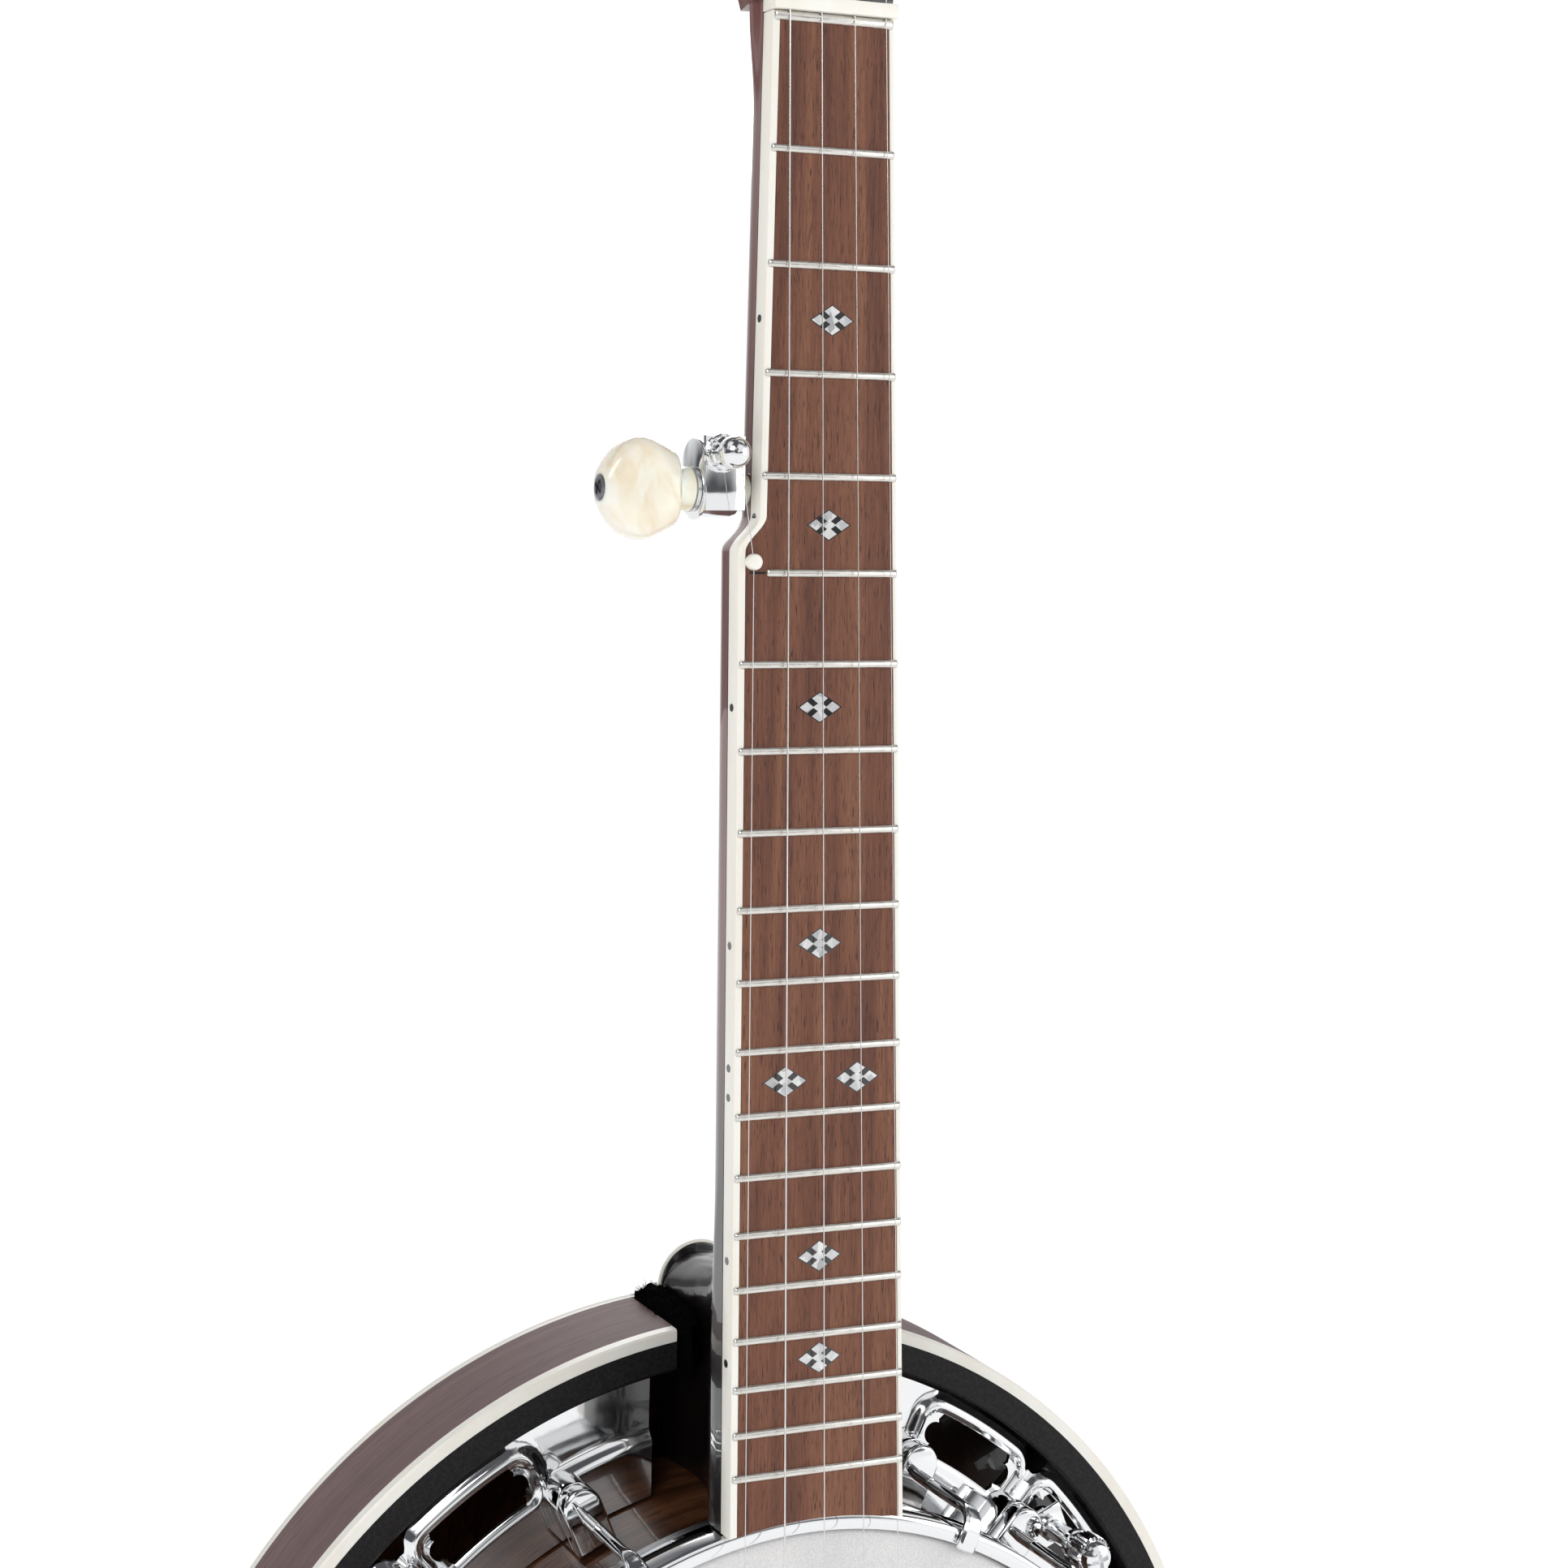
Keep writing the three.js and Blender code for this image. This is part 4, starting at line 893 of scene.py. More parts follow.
def neck_ring(distance):
    """A cross-section of the neck in its own frame: down the bass side and up the treble side."""
    steps = 36
    top = BOARD_THICKNESS + 0.2
    z = (NECK @ Vector((0, 0, -distance))).z
    lift = (NECK @ Vector((0, 0, -distance))).y
    shaft_depth = lerp(21, 26, distance / BOARD_LENGTH)
    bottom = max(shaft_depth, heel_bottom(z) - lift)
    sides = {-1: [], 1: []}
    for i in range(steps + 1):
        y = lerp(top, bottom - 0.01, math.sin(math.pi / 2 * i / steps))
        heel = heel_half(min(y + lift, HEEL_BACK), z)
        for side, (edge, _, width) in SIDES.items():
            half = edge(distance) + width
            flare = NECK_FLARE * (1 - smooth(distance, -HEADSTOCK_START, FLARE_LENGTH))
            flare *= smooth(y, top, top + 5)
            shaft = shaft_half(half + flare, y, distance)
            blend = (shaft ** 6 + heel ** 6) ** (1 / 6)
            sides[side].append((side * max(min(blend, half + flare), 0.02), y))
    return [(x, y, -distance) for x, y in sides[-1] + sides[1][::-1]]


def pot_clearance(point):
    """The lowest z in the part's frame that a point of the neck may have."""
    radius = HOOP_OUTER + 0.8 if point.y < -86.6 else RIM_RADIUS + 0.5
    return math.sqrt(max(radius ** 2 - point.x ** 2, 0))


def add_neck():
    start = BOARD_LENGTH + 5
    stations = [lerp(-HEADSTOCK_START, 30, i / 16) for i in range(16)] + list(range(30, 150, 10))
    stations += [STEP_START - 2 + i for i in range(16)] + list(range(170, 330, 10))
    stations += [330 + i * 2 for i in range(int((start - 330) / 2) + 1)]
    rings = []
    for distance in stations:
        ring = []
        for point in neck_ring(distance):
            world = NECK @ Vector(point)
            near = 1 - smooth(world.z, 140, 160)
            world.z = max(world.z + (pot_clearance(world) - 140.5) * near, pot_clearance(world))
            ring.append(world)
        rings.append(ring)
    piece("neck_shaped", *loft(rings), NECK_WOOD, replaces=["neck"], crease=50)

    outline = heel_cap_outline(13.8, 208, 14)
    cap = plate(outline, HEEL_BACK + 0.2, -19, 0.6)
    piece("heel_cap_shaped", *cap, BLACK, replaces=["heel_cap"])
    edge = [(x, -20.6, z) for x, z in heel_cap_outline(13.9, 208.1, 14)]
    edge = [point for point in edge if point[2] > 141]
    piece("heel_cap_line", *tube(edge, 0.75, 8), IVORY)


def heel_cap_outline(half, tip, rounding):
    steps = 32
    ends = [(x, math.sqrt((RIM_RADIUS + 0.6) ** 2 - x * x)) for x in
            [lerp(half, -half, i / 8) for i in range(9)]]
    nose = [(-half * math.cos(math.pi * i / steps), tip - rounding + rounding * math.sin(math.pi * i / steps))
            for i in range(steps + 1)]
    return ends + nose


# ---------------------------------------------------------------- headstock


def bezier(a, b, c, d, steps=10):
    points = []
    for i in range(steps):
        t = i / steps
        weights = ((1 - t) ** 3, 3 * t * (1 - t) ** 2, 3 * t * t * (1 - t), t ** 3)
        points.append(tuple(sum(w * p[k] for w, p in zip(weights, (a, b, c, d))) for k in (0, 1)))
    return points


def headstock_outline():
    side = bezier((-23, 0), (-24, 12), (-33, 16), (-33, 34))
    side += bezier((-33, 34), (-33, 60), (-30.5, 80), (-31, 100))
    side += bezier((-31, 100), (-31.5, 130), (-37, 140), (-34, 158))
    side += bezier((-34, 158), (-31, 172), (-12, 172), (0, 166))
    return side + [(0, 166)] + [(-x, z) for x, z in side[::-1]]


def add_headstock():
    outline = headstock_outline()
    slab = plate(outline, OVERLAY + 0.05, HEADSTOCK_BACK, 1.2, 4)
    piece("headstock_slab", *slab, NECK_WOOD, place=HEADSTOCK)
    face = plate([(x, z + 0.4) for x, z in outline], 0, OVERLAY, 0.3)
    piece("headstock_face", *face, BLACK, place=HEADSTOCK, replaces=["headstock_overlay"])
    stub = []
    for i in range(13):
        t = i / 12
        depth = lerp(21, 12, smooth(t, 0, 1))
        ring = []
        for j in range(25):
            a = math.pi * j / 24
            half = lerp(BASS_AT_NUT + BASS_BINDING, 15, t)
            y = 7.2 + 0.26 * i + (depth - 7.2) * math.sin(a) ** 0.8
            ring.append((-half * math.cos(a), y, 8 + 26 * t))
        stub.append(ring)
    piece("headstock_volute", *loft(stub), NECK_WOOD, place=NECK)
    bell = bezier((-10, 1), (-10, 14), (-5, 16), (-4, 30)) + bezier((-4, 30), (-3, 35), (3, 35), (4, 30))
    bell += bezier((4, 30), (5, 16), (10, 14), (10, 1)) + [(10, 1)]
    cover = plate(bell, -1.8, -0.1, 0.4)
    piece("truss_cover_shaped", *cover, BLACK, place=HEADSTOCK, replaces=["truss_rod_cover"])
    rim = [(x, -0.7, z) for x, z in bell]
    piece("truss_cover_edge", *tube(rim, 0.45, 8, closed=True), IVORY, place=HEADSTOCK)
    for i, z in enumerate((4.5, 29)):
        head, arms = screw_head(1.7, 0.9)
        place = HEADSTOCK @ shift(0, -1.8, z)
        cuts = [bare(*arm, place) for arm in arms]
        piece(f"truss_cover_screw_{i + 1}", *head, CHROME, place=place, cuts=cuts)
    add_headstock_diamond()


def add_headstock_diamond():
    place = HEADSTOCK @ shift(0, 0, 138)
    diamond = [(9, 0), (0, 14), (-9, 0), (0, -14)]
    piece("headstock_diamond", *plate(diamond, -0.05, 0.5), PEARL, place=place)
    small = [(3.4, 0), (0, 5.3), (-3.4, 0), (0, -5.3)]
    piece("headstock_diamond_heart", *plate(small, -0.09, 0.4), BLACK, place=place)


# ---------------------------------------------------------------- strings

STRINGS = {1: (18, 29.8, 12, 0.14), 2: (7, 17.3, 6, 0.16), 3: (-4.5, 2.5, 0, 0.2),
           4: (-15.5, -12.4, -6, 0.28), 5: (-26, -27, -12, 0.14)}


def coil(centre, radius, start, turns, drop, place):
    """String wound round a post, towards the front."""
    steps = int(turns * 16)
    return [place @ (Vector(centre) + Vector((radius * math.cos(a), -drop * i / steps, radius * math.sin(a))))
            for i, a in [(i, start + 2 * math.pi * turns * i / steps) for i in range(steps + 1)]]


def add_strings():
    for number, (start, bridge, tail, radius) in STRINGS.items():
        rest = radius + 0.05
        if number == 5:
            centre, crown = FIFTH_POST + Vector((0, -6.5, 0)), NECK @ Vector((start, -1.5 - rest, PIP_Z))
            wound = coil(centre, 2.9, 0, 2, -1.6, NECK)[::-1]
            upper = [crown]
        else:
            side, z = HEADSTOCK_POSTS[number]
            centre = (side * POST_X, -8.2, z)
            wound = coil(centre, 2.9, 0 if side < 0 else math.pi, 3, -2.2, HEADSTOCK)[::-1]
            if side > 0:
                wound = [HEADSTOCK @ mirrored(HEADSTOCK.inverted() @ point, z) for point in wound]
            over = -FRET_HEIGHT - rest
            upper = [NECK @ Vector((start, over + 0.25, ZERO_FRET_AHEAD + 4)),
                     NECK @ Vector((start, over, ZERO_FRET_AHEAD))]
        lower = [(bridge, BRIDGE_TOP - rest, BRIDGE_Z), (tail, TAIL_Y, -109), (tail, TAIL_Y, -138)]
        piece(f"string_wire_{number}", *tube(wound + upper + lower, radius, 10), STRING,
              replaces=[f"string_{number}"], crease=80)


def mirrored(point, z):
    return Vector((point.x, point.y, 2 * z - point.z))


# ---------------------------------------------------------------- pot


def add_pot():
    rim = turned([(RIM_INNER + 0.6, -88), (RIM_RADIUS - 0.6, -88), (RIM_RADIUS, -87.4), (RIM_RADIUS, -24.8),
                  (RIM_RADIUS - 0.8, -24), (RIM_INNER + 0.8, -24), (RIM_INNER, -24.8), (RIM_INNER, -87.4)])
    piece("rim_shaped", *rim, RIM_WOOD, replaces=["rim"])
    front = [(0, 0), (60, 0), (110, 0), (132, 0), (134.5, 0.03), (136.2, 0.16), (137.3, 0.5), (138.2, 1.3),
             (138.75, 2.6), (138.9, 4.5), (138.9, 14.9)]
    inside = [(138.5, 14.9), (138.45, 4.6), (138.1, 2.6), (137.4, 1.1), (136.4, 0.6), (134, 0.45), (0, 0.45)]
    skin = turned([(radius, HEAD_FRONT + y) for radius, y in front + inside], closed=False)
    piece("head_shaped", *skin, MYLAR, replaces=["head"], crease=60)
    flesh = [(139.4, -91.8), (143, -91.8), (143.4, -91.4), (143.4, -87.4), (143, -87), (139.4, -87)]
    piece("flesh_hoop_shaped", *turned(flesh), ALUMINIUM, replaces=["flesh_hoop"])
    hoop = [(HOOP_INNER, -103.1), (HOOP_INNER + 0.3, -103.7), (HOOP_INNER + 1, HOOP_FRONT),
            (HOOP_OUTER - 1.2, HOOP_FRONT), (HOOP_OUTER - 0.4, -103.6), (HOOP_OUTER, -102.8),
            (HOOP_OUTER, -92.6), (HOOP_OUTER - 0.5, -92), (HOOP_INNER, -92)]
    piece("tension_hoop_shaped", *turned(hoop, 256), CHROME, replaces=["tension_hoop"])


def slot_outline(angle):
    """A flange slot with square shoulders and a round lobe at each end."""
    middle = (SLOT_INNER + SLOT_OUTER) / 2
    shoulder, lobe = 5.0, 3.9
    reach, corner, waist = SLOT_HALF_SPAN - 1.75, SLOT_HALF_SPAN - 1.9, SLOT_HALF_SPAN - 1.55
    turns = [math.pi / 2 - math.pi * i / 12 for i in range(13)]
    ends = []
    for side in (1, -1):
        bulges = [reach + math.degrees(lobe * math.cos(a) * 0.95 / middle) for a in turns]
        round_end = [(middle + lobe * math.sin(a), angle + side * bulge) for a, bulge in zip(turns, bulges)]
        ends.append([(SLOT_OUTER, angle + side * corner), (middle + shoulder, angle + side * waist)]
                    + round_end
                    + [(middle - shoulder, angle + side * waist), (SLOT_INNER, angle + side * corner)])
    right, left = ends
    bottom = [(SLOT_INNER, lerp(right[-1][1], left[-1][1], i / 10)) for i in range(1, 10)]
    top = [(SLOT_OUTER, lerp(left[0][1], right[0][1], i / 10)) for i in range(1, 10)]
    return [polar(r, a) for r, a in right + bottom + left[::-1] + top]


def rounded_box(u, v, half_u, half_v, corner):
    """Distance from a point to a rounded rectangle round the origin, negative inside."""
    qu, qv = abs(u) - half_u + corner, abs(v) - half_v + corner
    return math.hypot(max(qu, 0), max(qv, 0)) + min(max(qu, qv), 0) - corner


def from_slot(degrees):
    """The distance round the pot to the middle of the nearest slot, and half a slot's length."""
    per_degree = math.radians((SLOT_INNER + SLOT_OUTER) / 2)
    away = min(abs((degrees - angle + 180) % 360 - 180) for angle in SLOT_ANGLES)
    return away * per_degree, SLOT_HALF_SPAN * per_degree


def flange_height(radius, degrees):
    """How far the pressed flange stands in front of its outer edge."""
    middle = (SLOT_INNER + SLOT_OUTER) / 2
    away, span = from_slot(degrees)
    border = rounded_box(away, radius - middle, span + 3.0, 10.6, 7.5)
    hole = rounded_box(away, radius - middle, span + 0.2, 7.4, 4.5)
    raised = min(border, (radius - 156.5) * 0.9)
    height = 3.4 - 1.9 * smooth(raised, -0.6, 2.6) - 0.30 * min(max(raised - 0.5, 0), 3)
    ridge = 0.35 * math.exp(-((border + 1.0) / 0.9) ** 2) * smooth(radius, 155, 160)
    rolled = 1.1 * (1 - smooth(hole, -0.2, 1.5)) ** 1.5
    return height + ridge - rolled


def flange_edge(degrees):
    """The flange's outer radius: it draws in between one slot and the next."""
    from_neck = abs((degrees + 180) % 360 - 180)
    if from_neck < SLOT_ANGLES[1]:
        return FLANGE_OUTER
    corner, deepest = 8.3, 5.5
    away, span = from_slot(degrees)
    beyond = min(max(away - span + 4.5, 0), corner)
    return FLANGE_OUTER - min(corner - math.sqrt(corner ** 2 - beyond ** 2), deepest)


def add_flange():
    turns, steps, sheet = 960, 40, 1.5
    rings = []
    for i in range(turns):
        degrees = 360 * i / turns
        edge = flange_edge(degrees)
        radii = [lerp(138.8, edge, i / steps) for i in range(steps + 1)]
        heights = [flange_height(radius, degrees) for radius in radii]
        front = [(*polar(radius, degrees), FLANGE_BACK - height) for radius, height in zip(radii, heights)]
        back = [(x, z, y + sheet) for x, z, y in front[::-1]]
        rings.append([(x, y, z) for x, z, y in front + back])
    cutters = merged(*[plate(slot_outline(angle), -60, -40) for angle in SLOT_ANGLES])
    gap = slab(-FLANGE_NOTCH, FLANGE_NOTCH, 100, 200, -60, -40)
    piece("flange_shaped", *loft(rings, True), CHROME, replaces=["flange"],
          cuts=[bare(*merged(cutters, gap))], crease=45)


# A hook's own frame: x across it, y as in the part and z away from the pot's axis.


def claw_section(z, y, half, thick, round_share):
    """One cross-section of a hook: a ribbed strip at 0, a round rod at 1."""
    points = []
    for i in range(32):
        a = 2 * math.pi * i / 32
        c, s = math.cos(a), math.sin(a)
        flat = Vector((half * math.copysign(abs(c) ** 0.35, c), thick * math.copysign(abs(s) ** 0.5, s)))
        ribs = 0.45 * math.cos(flat.x * 2 * math.pi / 2.3) * max(s, 0) * (1 - round_share)
        flat.y += ribs
        rod = Vector((2 * c, 2 * s))
        points.append(flat.lerp(rod, round_share))
    return z, y, points


def hook_shape():
    """The claw over the hoop, the bend, the rod and its thread, as one body."""
    sections = [claw_section(z, y, half, thick, share) for z, y, half, thick, share in (
        (138.9, -104.9, 3.3, 0.4, 0), (139.1, -105.2, 3.5, 0.8, 0), (141.5, -105.3, 3.5, 0.9, 0),
        (144.6, -105.3, 3.5, 0.95, 0), (147.2, -104.6, 3.4, 1.1, 0.05), (149.0, -102.8, 3.3, 1.3, 0.15),
        (149.9, -100.4, 3.0, 1.5, 0.35), (HOOK_RADIUS, -98, 2.6, 1.7, 0.7),
        (HOOK_RADIUS, -95.5, 2.2, 1.9, 0.95), (HOOK_RADIUS, -94, 2, 2, 1), (HOOK_RADIUS, -77, 2, 2, 1))]
    rings = []
    for i, (z, y, points) in enumerate(sections):
        before, after = sections[max(i - 1, 0)], sections[min(i + 1, len(sections) - 1)]
        along = Vector((0, after[1] - before[1], after[0] - before[0])).normalized()
        out = Vector((0, -along.z, along.y))
        rings.append([Vector((0, y, z)) + Vector((p.x, 0, 0)) + out * p.y for p in points])
    thread = []
    for i in range(76):
        size = 1.98 if i % 2 == 0 else 1.72
        y = -76.6 + i * 0.45
        turns = [2 * math.pi * j / 32 for j in range(32)]
        thread.append([Vector((size * math.cos(a), y, HOOK_RADIUS + size * math.sin(a))) for a in turns])
    return loft(rings + thread)


def shoe_outline(inset):
    half = 6.75 - inset
    nose = [(half * math.cos(a), 153.2 + half * math.sin(a)) for a in [math.pi * i / 20 for i in range(21)]]
    return [(half, 139.4 + inset)] + nose + [(-half, 139.4 + inset)]


def shoe_shape():
    levels = [(-68, 1.0), (-67.8, 0.5), (-67.2, 0.1), (-66.8, 0), (-62.3, 0), (-62.15, 0.1), (-62, 0.55),
              (-61.6, 0.55), (-61.4, 0.1), (-61.2, 0), (-51.2, 0), (-50.6, 0.1), (-50.2, 0.4)]
    return loft([[(x, y, z) for x, z in shoe_outline(inset)] for y, inset in levels])


def keyhole_shape():
    """What is cut from a shoe's front: a round hole for the rod and a gap towards the pot."""
    half, radius, middle = 3.3, 4, HOOK_RADIUS + 0.6
    start = math.degrees(math.asin(half / radius))
    turns = [math.radians(lerp(-180 + start, 180 - start, i / 28)) for i in range(29)]
    hole = [(radius * math.sin(a), middle + radius * math.cos(a)) for a in turns]
    return plate([(-half, 135)] + hole + [(half, 135)], -70, -60.5)


def nut_shape(y, across, height):
    outline = hexagon(across, HOOK_RADIUS)
    washer = turned([(2.2, y - 0.8), (4.6, y - 0.8), (4.6, y - 0.1), (2.2, y - 0.1)], 28)
    return merged(plate(outline, y, y + height, 0.4), moved(washer, shift(0, 0, HOOK_RADIUS)))


def add_hooks():
    hook, shoe, nut = hook_shape(), shoe_shape(), nut_shape(-46.9, 3.9, 5)
    sample = piece("hook_shoe_01", *shoe, CHROME, cuts=[bare(*keyhole_shape())], crease=35,
                   place=turn_y(HOOK_ANGLES[0]))
    for i, angle in enumerate(HOOK_ANGLES, 1):
        place = turn_y(angle)
        piece(f"hook_{i:02}", *hook, CHROME, place=place, crease=50)
        piece(f"hook_nut_{i:02}", *nut, STEEL, place=place)
        if i > 1:
            turn = turn_y(angle - HOOK_ANGLES[0])
            points = [turn @ (vertex.co / MM) for vertex in sample.data.vertices]
            faces = [tuple(polygon.vertices) for polygon in sample.data.polygons]
            piece(f"hook_shoe_{i:02}", points, faces, CHROME, crease=35)


# ---------------------------------------------------------------- resonator


def notch_box(half):
    return slab(-half, half, 150, 200, -60, WALL_BACK)


def back_profile():
    points = []
    for i in range(25):
        radius = 187 * i / 24
        fall = max(radius - 100, 0) / 87
        points.append((radius, -11 * fall ** 2.2))
    return points


def add_resonator():
    bound = RESONATOR - EDGE_BINDING
    side = turned([(WALL_INNER, WALL_BACK - 0.2), (RESONATOR, WALL_BACK - 0.2), (RESONATOR, BINDING_BACK),
                   (bound + 0.05, BINDING_BACK), (bound + 0.05, RESONATOR_FRONT + 0.05),
                   (LIP_INNER + 0.8, RESONATOR_FRONT + 0.05), (LIP_INNER, -51.4), (LIP_INNER, -45),
                   (WALL_INNER, -41)], 256)
    piece("resonator_wall", *side, SIDE_WOOD, replaces=["resonator_side"], cuts=[bare(*notch_box(NOTCH))])
    front = turned([(bound, RESONATOR_FRONT + 0.1), (bound + 0.1, RESONATOR_FRONT),
                    (RESONATOR - 0.6, RESONATOR_FRONT), (RESONATOR, RESONATOR_FRONT + 0.6),
                    (RESONATOR, BINDING_BACK), (bound, BINDING_BACK)], 256)
    piece("resonator_edge_front", *front, IVORY, replaces=["resonator_binding_front"],
          cuts=[bare(*notch_box(NOTCH + 0.2))])
    rear = turned([(bound, WALL_BACK - 0.15), (RESONATOR, WALL_BACK - 0.15), (RESONATOR, -13.2),
                   (190.4, -12.2), (189, -11.3), (bound, -11)], 256)
    piece("resonator_edge_back", *rear, IVORY, replaces=["resonator_binding_back"])
    outer = back_profile()
    inner = [(radius * 181 / 187, y - 5) for radius, y in outer[::-1]]
    shell = outer + [(bound, WALL_BACK), (181, WALL_BACK)] + inner
    piece("resonator_back_shaped", *turned(shell, 256, closed=False), BACK_WOOD, replaces=["resonator_back"])
    piece("resonator_back_ring", *back_stripe(), IVORY)
    lugs = [moved(slab(-9, 9, 152, 184.5, -46, -30, 1.5),
                  turn_y(angle)) for angle in SCREW_ANGLES]
    piece("resonator_lugs", *merged(*lugs), BLACK)


def back_stripe():
    """A thin ring let into the back, standing just proud of it."""
    def surface(radius):
        return -11 * ((radius - 100) / 87) ** 2.2
    return turned([(163, surface(163) - 0.5), (163, surface(163) + 0.06), (165, surface(165) + 0.06),
                   (165, surface(165) - 0.5)], 256)


FELT_LUMPS = ((0.22, 2.2), (0.7, 1.1), (2, 0.5))  # repeats per millimetre and height
FIBRES_PER_PAD = 1500


def add_notch_felt():
    """Thick fuzzy pads that line the notch and press against the heel."""
    draw = random.Random(5)
    pads = []
    for side in (-1, 1):
        rings = []
        for i in range(41):
            y = lerp(-53.0, -16.6, i / 40)
            swell = math.sin(math.pi * min(i, 20) / 40) ** 0.4
            ring = []
            for j in range(56):
                a = 2 * math.pi * j / 56
                c, s = math.cos(a), math.sin(a)
                x = side * (16.6 + 5.9 * math.copysign(abs(c) ** 0.7, c) * swell)
                z = 184.4 + 9.8 * math.copysign(abs(s) ** 0.7, s) * (0.8 + 0.2 * swell)
                here = Vector((x, y, z))
                octaves = [noise.noise(here * scale) * size for scale, size in FELT_LUMPS]
                rough = octaves[0] + octaves[1] + octaves[2]
                ring.append((x + side * c * rough, y + 0.4 * rough, z + s * rough))
            rings.append(ring)
        pads.append(loft(rings))
    floor = slab(-21.5, 21.5, 176, 192, -18.5, -16.2, 0.8)
    piece("notch_felt_pads", *merged(*pads, floor), FELT, replaces=["notch_felt"], crease=180)
    fibres = []
    for points, _ in pads:
        for _ in range(FIBRES_PER_PAD):
            root = points[draw.randrange(len(points))]
            middle = Vector((math.copysign(17, root.x), -34, 184.6))
            out = (root - middle)
            out.y *= 0.4
            out.normalize()
            wander = Vector([draw.uniform(-1, 1) for _ in range(3)])
            length = draw.uniform(0.8, 2.2)
            halfway = root + (out + wander * 0.4) * length * 0.5
            tip = root + (out * 0.7 + wander) * length
            fibres.append(tube([root - out * 0.3, halfway, tip], [0.09, 0.07, 0.03], 3))
    piece("notch_felt_fibres", *merged(*fibres), FELT, crease=180)


def knurled(radius, y0, y1, teeth):
    rings = []
    for y, inset in ((y0, 0.8), (y0 + 0.7, 0), (y1 - 0.7, 0), (y1, 0.8)):
        ring = []
        for i in range(teeth * 2):
            size = radius - inset - 0.45 * (i % 2)
            ring.append((size * math.sin(math.pi * i / teeth), y, size * math.cos(math.pi * i / teeth)))
        rings.append(ring)
    return loft(rings)


def add_screws():
    for i, angle in enumerate(SCREW_ANGLES, 1):
        x, z = polar(SCREW_RADIUS, angle)
        place = shift(x, 0, z) @ turn_y(angle)
        cap, arms = screw_head(5.5, 3.4, 40)
        arms = [moved(moved(arm, shift(0, -84.6, 0)), Matrix.Rotation(0.5, 4, "Y")) for arm in arms]
        cap = moved(cap, shift(0, -84.6, 0))
        collar = turned([(0, -77.6), (4.6, -77.4), (4.6, -74.4), (5.1, -74), (5.1, -72.2), (4.4, -71.8),
                         (3.6, -70), (3.6, -60), (4.4, -59.6), (4.4, -57.8), (2.1, -57.4), (2.1, -32),
                         (0, -32)], 40, closed=False)
        body = f"screw_{i}"
        piece(f"resonator_screw_cap_{i}", *cap, CHROME, body, place, [f"resonator_screw_{i}"],
              cuts=[bare(*arm, place) for arm in arms])
        piece(f"resonator_screw_grip_{i}", *knurled(6.5, -84.3, -77.3, 30), CHROME, body, place, crease=20)
        piece(f"resonator_screw_collar_{i}", *collar, CHROME, body, place)
        half = 6.3
        square = slab(-half, half, -half, half, -57.3, -55.8, 0.35)
        square = moved(square, Matrix.Rotation(0.35, 4, "Y"))
        foot = turned([(2.3, -55.9), (5.2, -55.9), (5.2, -51.4), (2.3, -51.4)], 32)
        piece(f"resonator_screw_plate_{i}", *merged(square, foot), CHROME, place=place)


# ---------------------------------------------------------------- bridge, tailpiece, armrest


def add_bridge():
    left, right = -32, 34.5
    foot, top = HEAD_FRONT - 0.12, BRIDGE_TOP + 2.4
    outline = [(left - 2, foot), (left + 8, foot)]
    for a, b in ((left + 8, left + 27), (left + 39, right - 8)):
        outline += [(lerp(a, b, i / 14), foot - 9 * math.sin(math.pi * i / 14) ** 0.6) for i in range(1, 14)]
        outline += [(b, foot)] + ([(left + 39, foot)] if b < 0 else [])
    outline += [(right + 2, foot), (right + 0.6, foot - 5), (right, foot - 8), (right, top), (left, top),
                (left, foot - 8), (left - 0.6, foot - 5)]
    rings = []
    for share, inset in ((-1, 0.4), (-0.92, 0), (0.92, 0), (1, 0.4)):
        rings.append([(x, y, BRIDGE_Z + share * lerp(3.3, 1.5, (y - foot) / (top - foot)))
                      for x, y in inset_outline(outline, inset)])
    piece("bridge_shaped", *loft(rings), MAPLE, replaces=["bridge"])
    strip = slab(left, right, BRIDGE_Z - 1.5, BRIDGE_Z + 1.5, BRIDGE_TOP, top - 0.05, 0.35)
    cuts = [bare(*tube([(x, BRIDGE_TOP, BRIDGE_Z - 4), (x, BRIDGE_TOP, BRIDGE_Z + 4)], radius + 0.06, 8))
            for _, x, _, radius in STRINGS.values()]
    piece("bridge_strip", *strip, EBONY, replaces=["bridge_top"], cuts=cuts)


def bent_strip(path, half_widths, thick):
    """A sheet-metal strip along a path in the y-z plane, with a width at each point."""
    path = [Vector((0, y, z)) for y, z in path]
    rings = []
    for i, point in enumerate(path):
        along = (path[min(i + 1, len(path) - 1)] - path[max(i - 1, 0)]).normalized()
        out = Vector((0, along.z, -along.y)) * thick / 2
        half, edge = half_widths[i], 0.35
        ring = []
        for x, share in ((-half, 0.4), (-half + edge, 1), (half - edge, 1), (half, 0.4)):
            ring.append(point + Vector((x, 0, 0)) + out * share)
        for x, share in ((half, 0.4), (half - edge, 1), (-half + edge, 1), (-half, 0.4)):
            ring.append(point + Vector((x, 0, 0)) - out * share)
        rings.append(ring)
    return loft(rings)


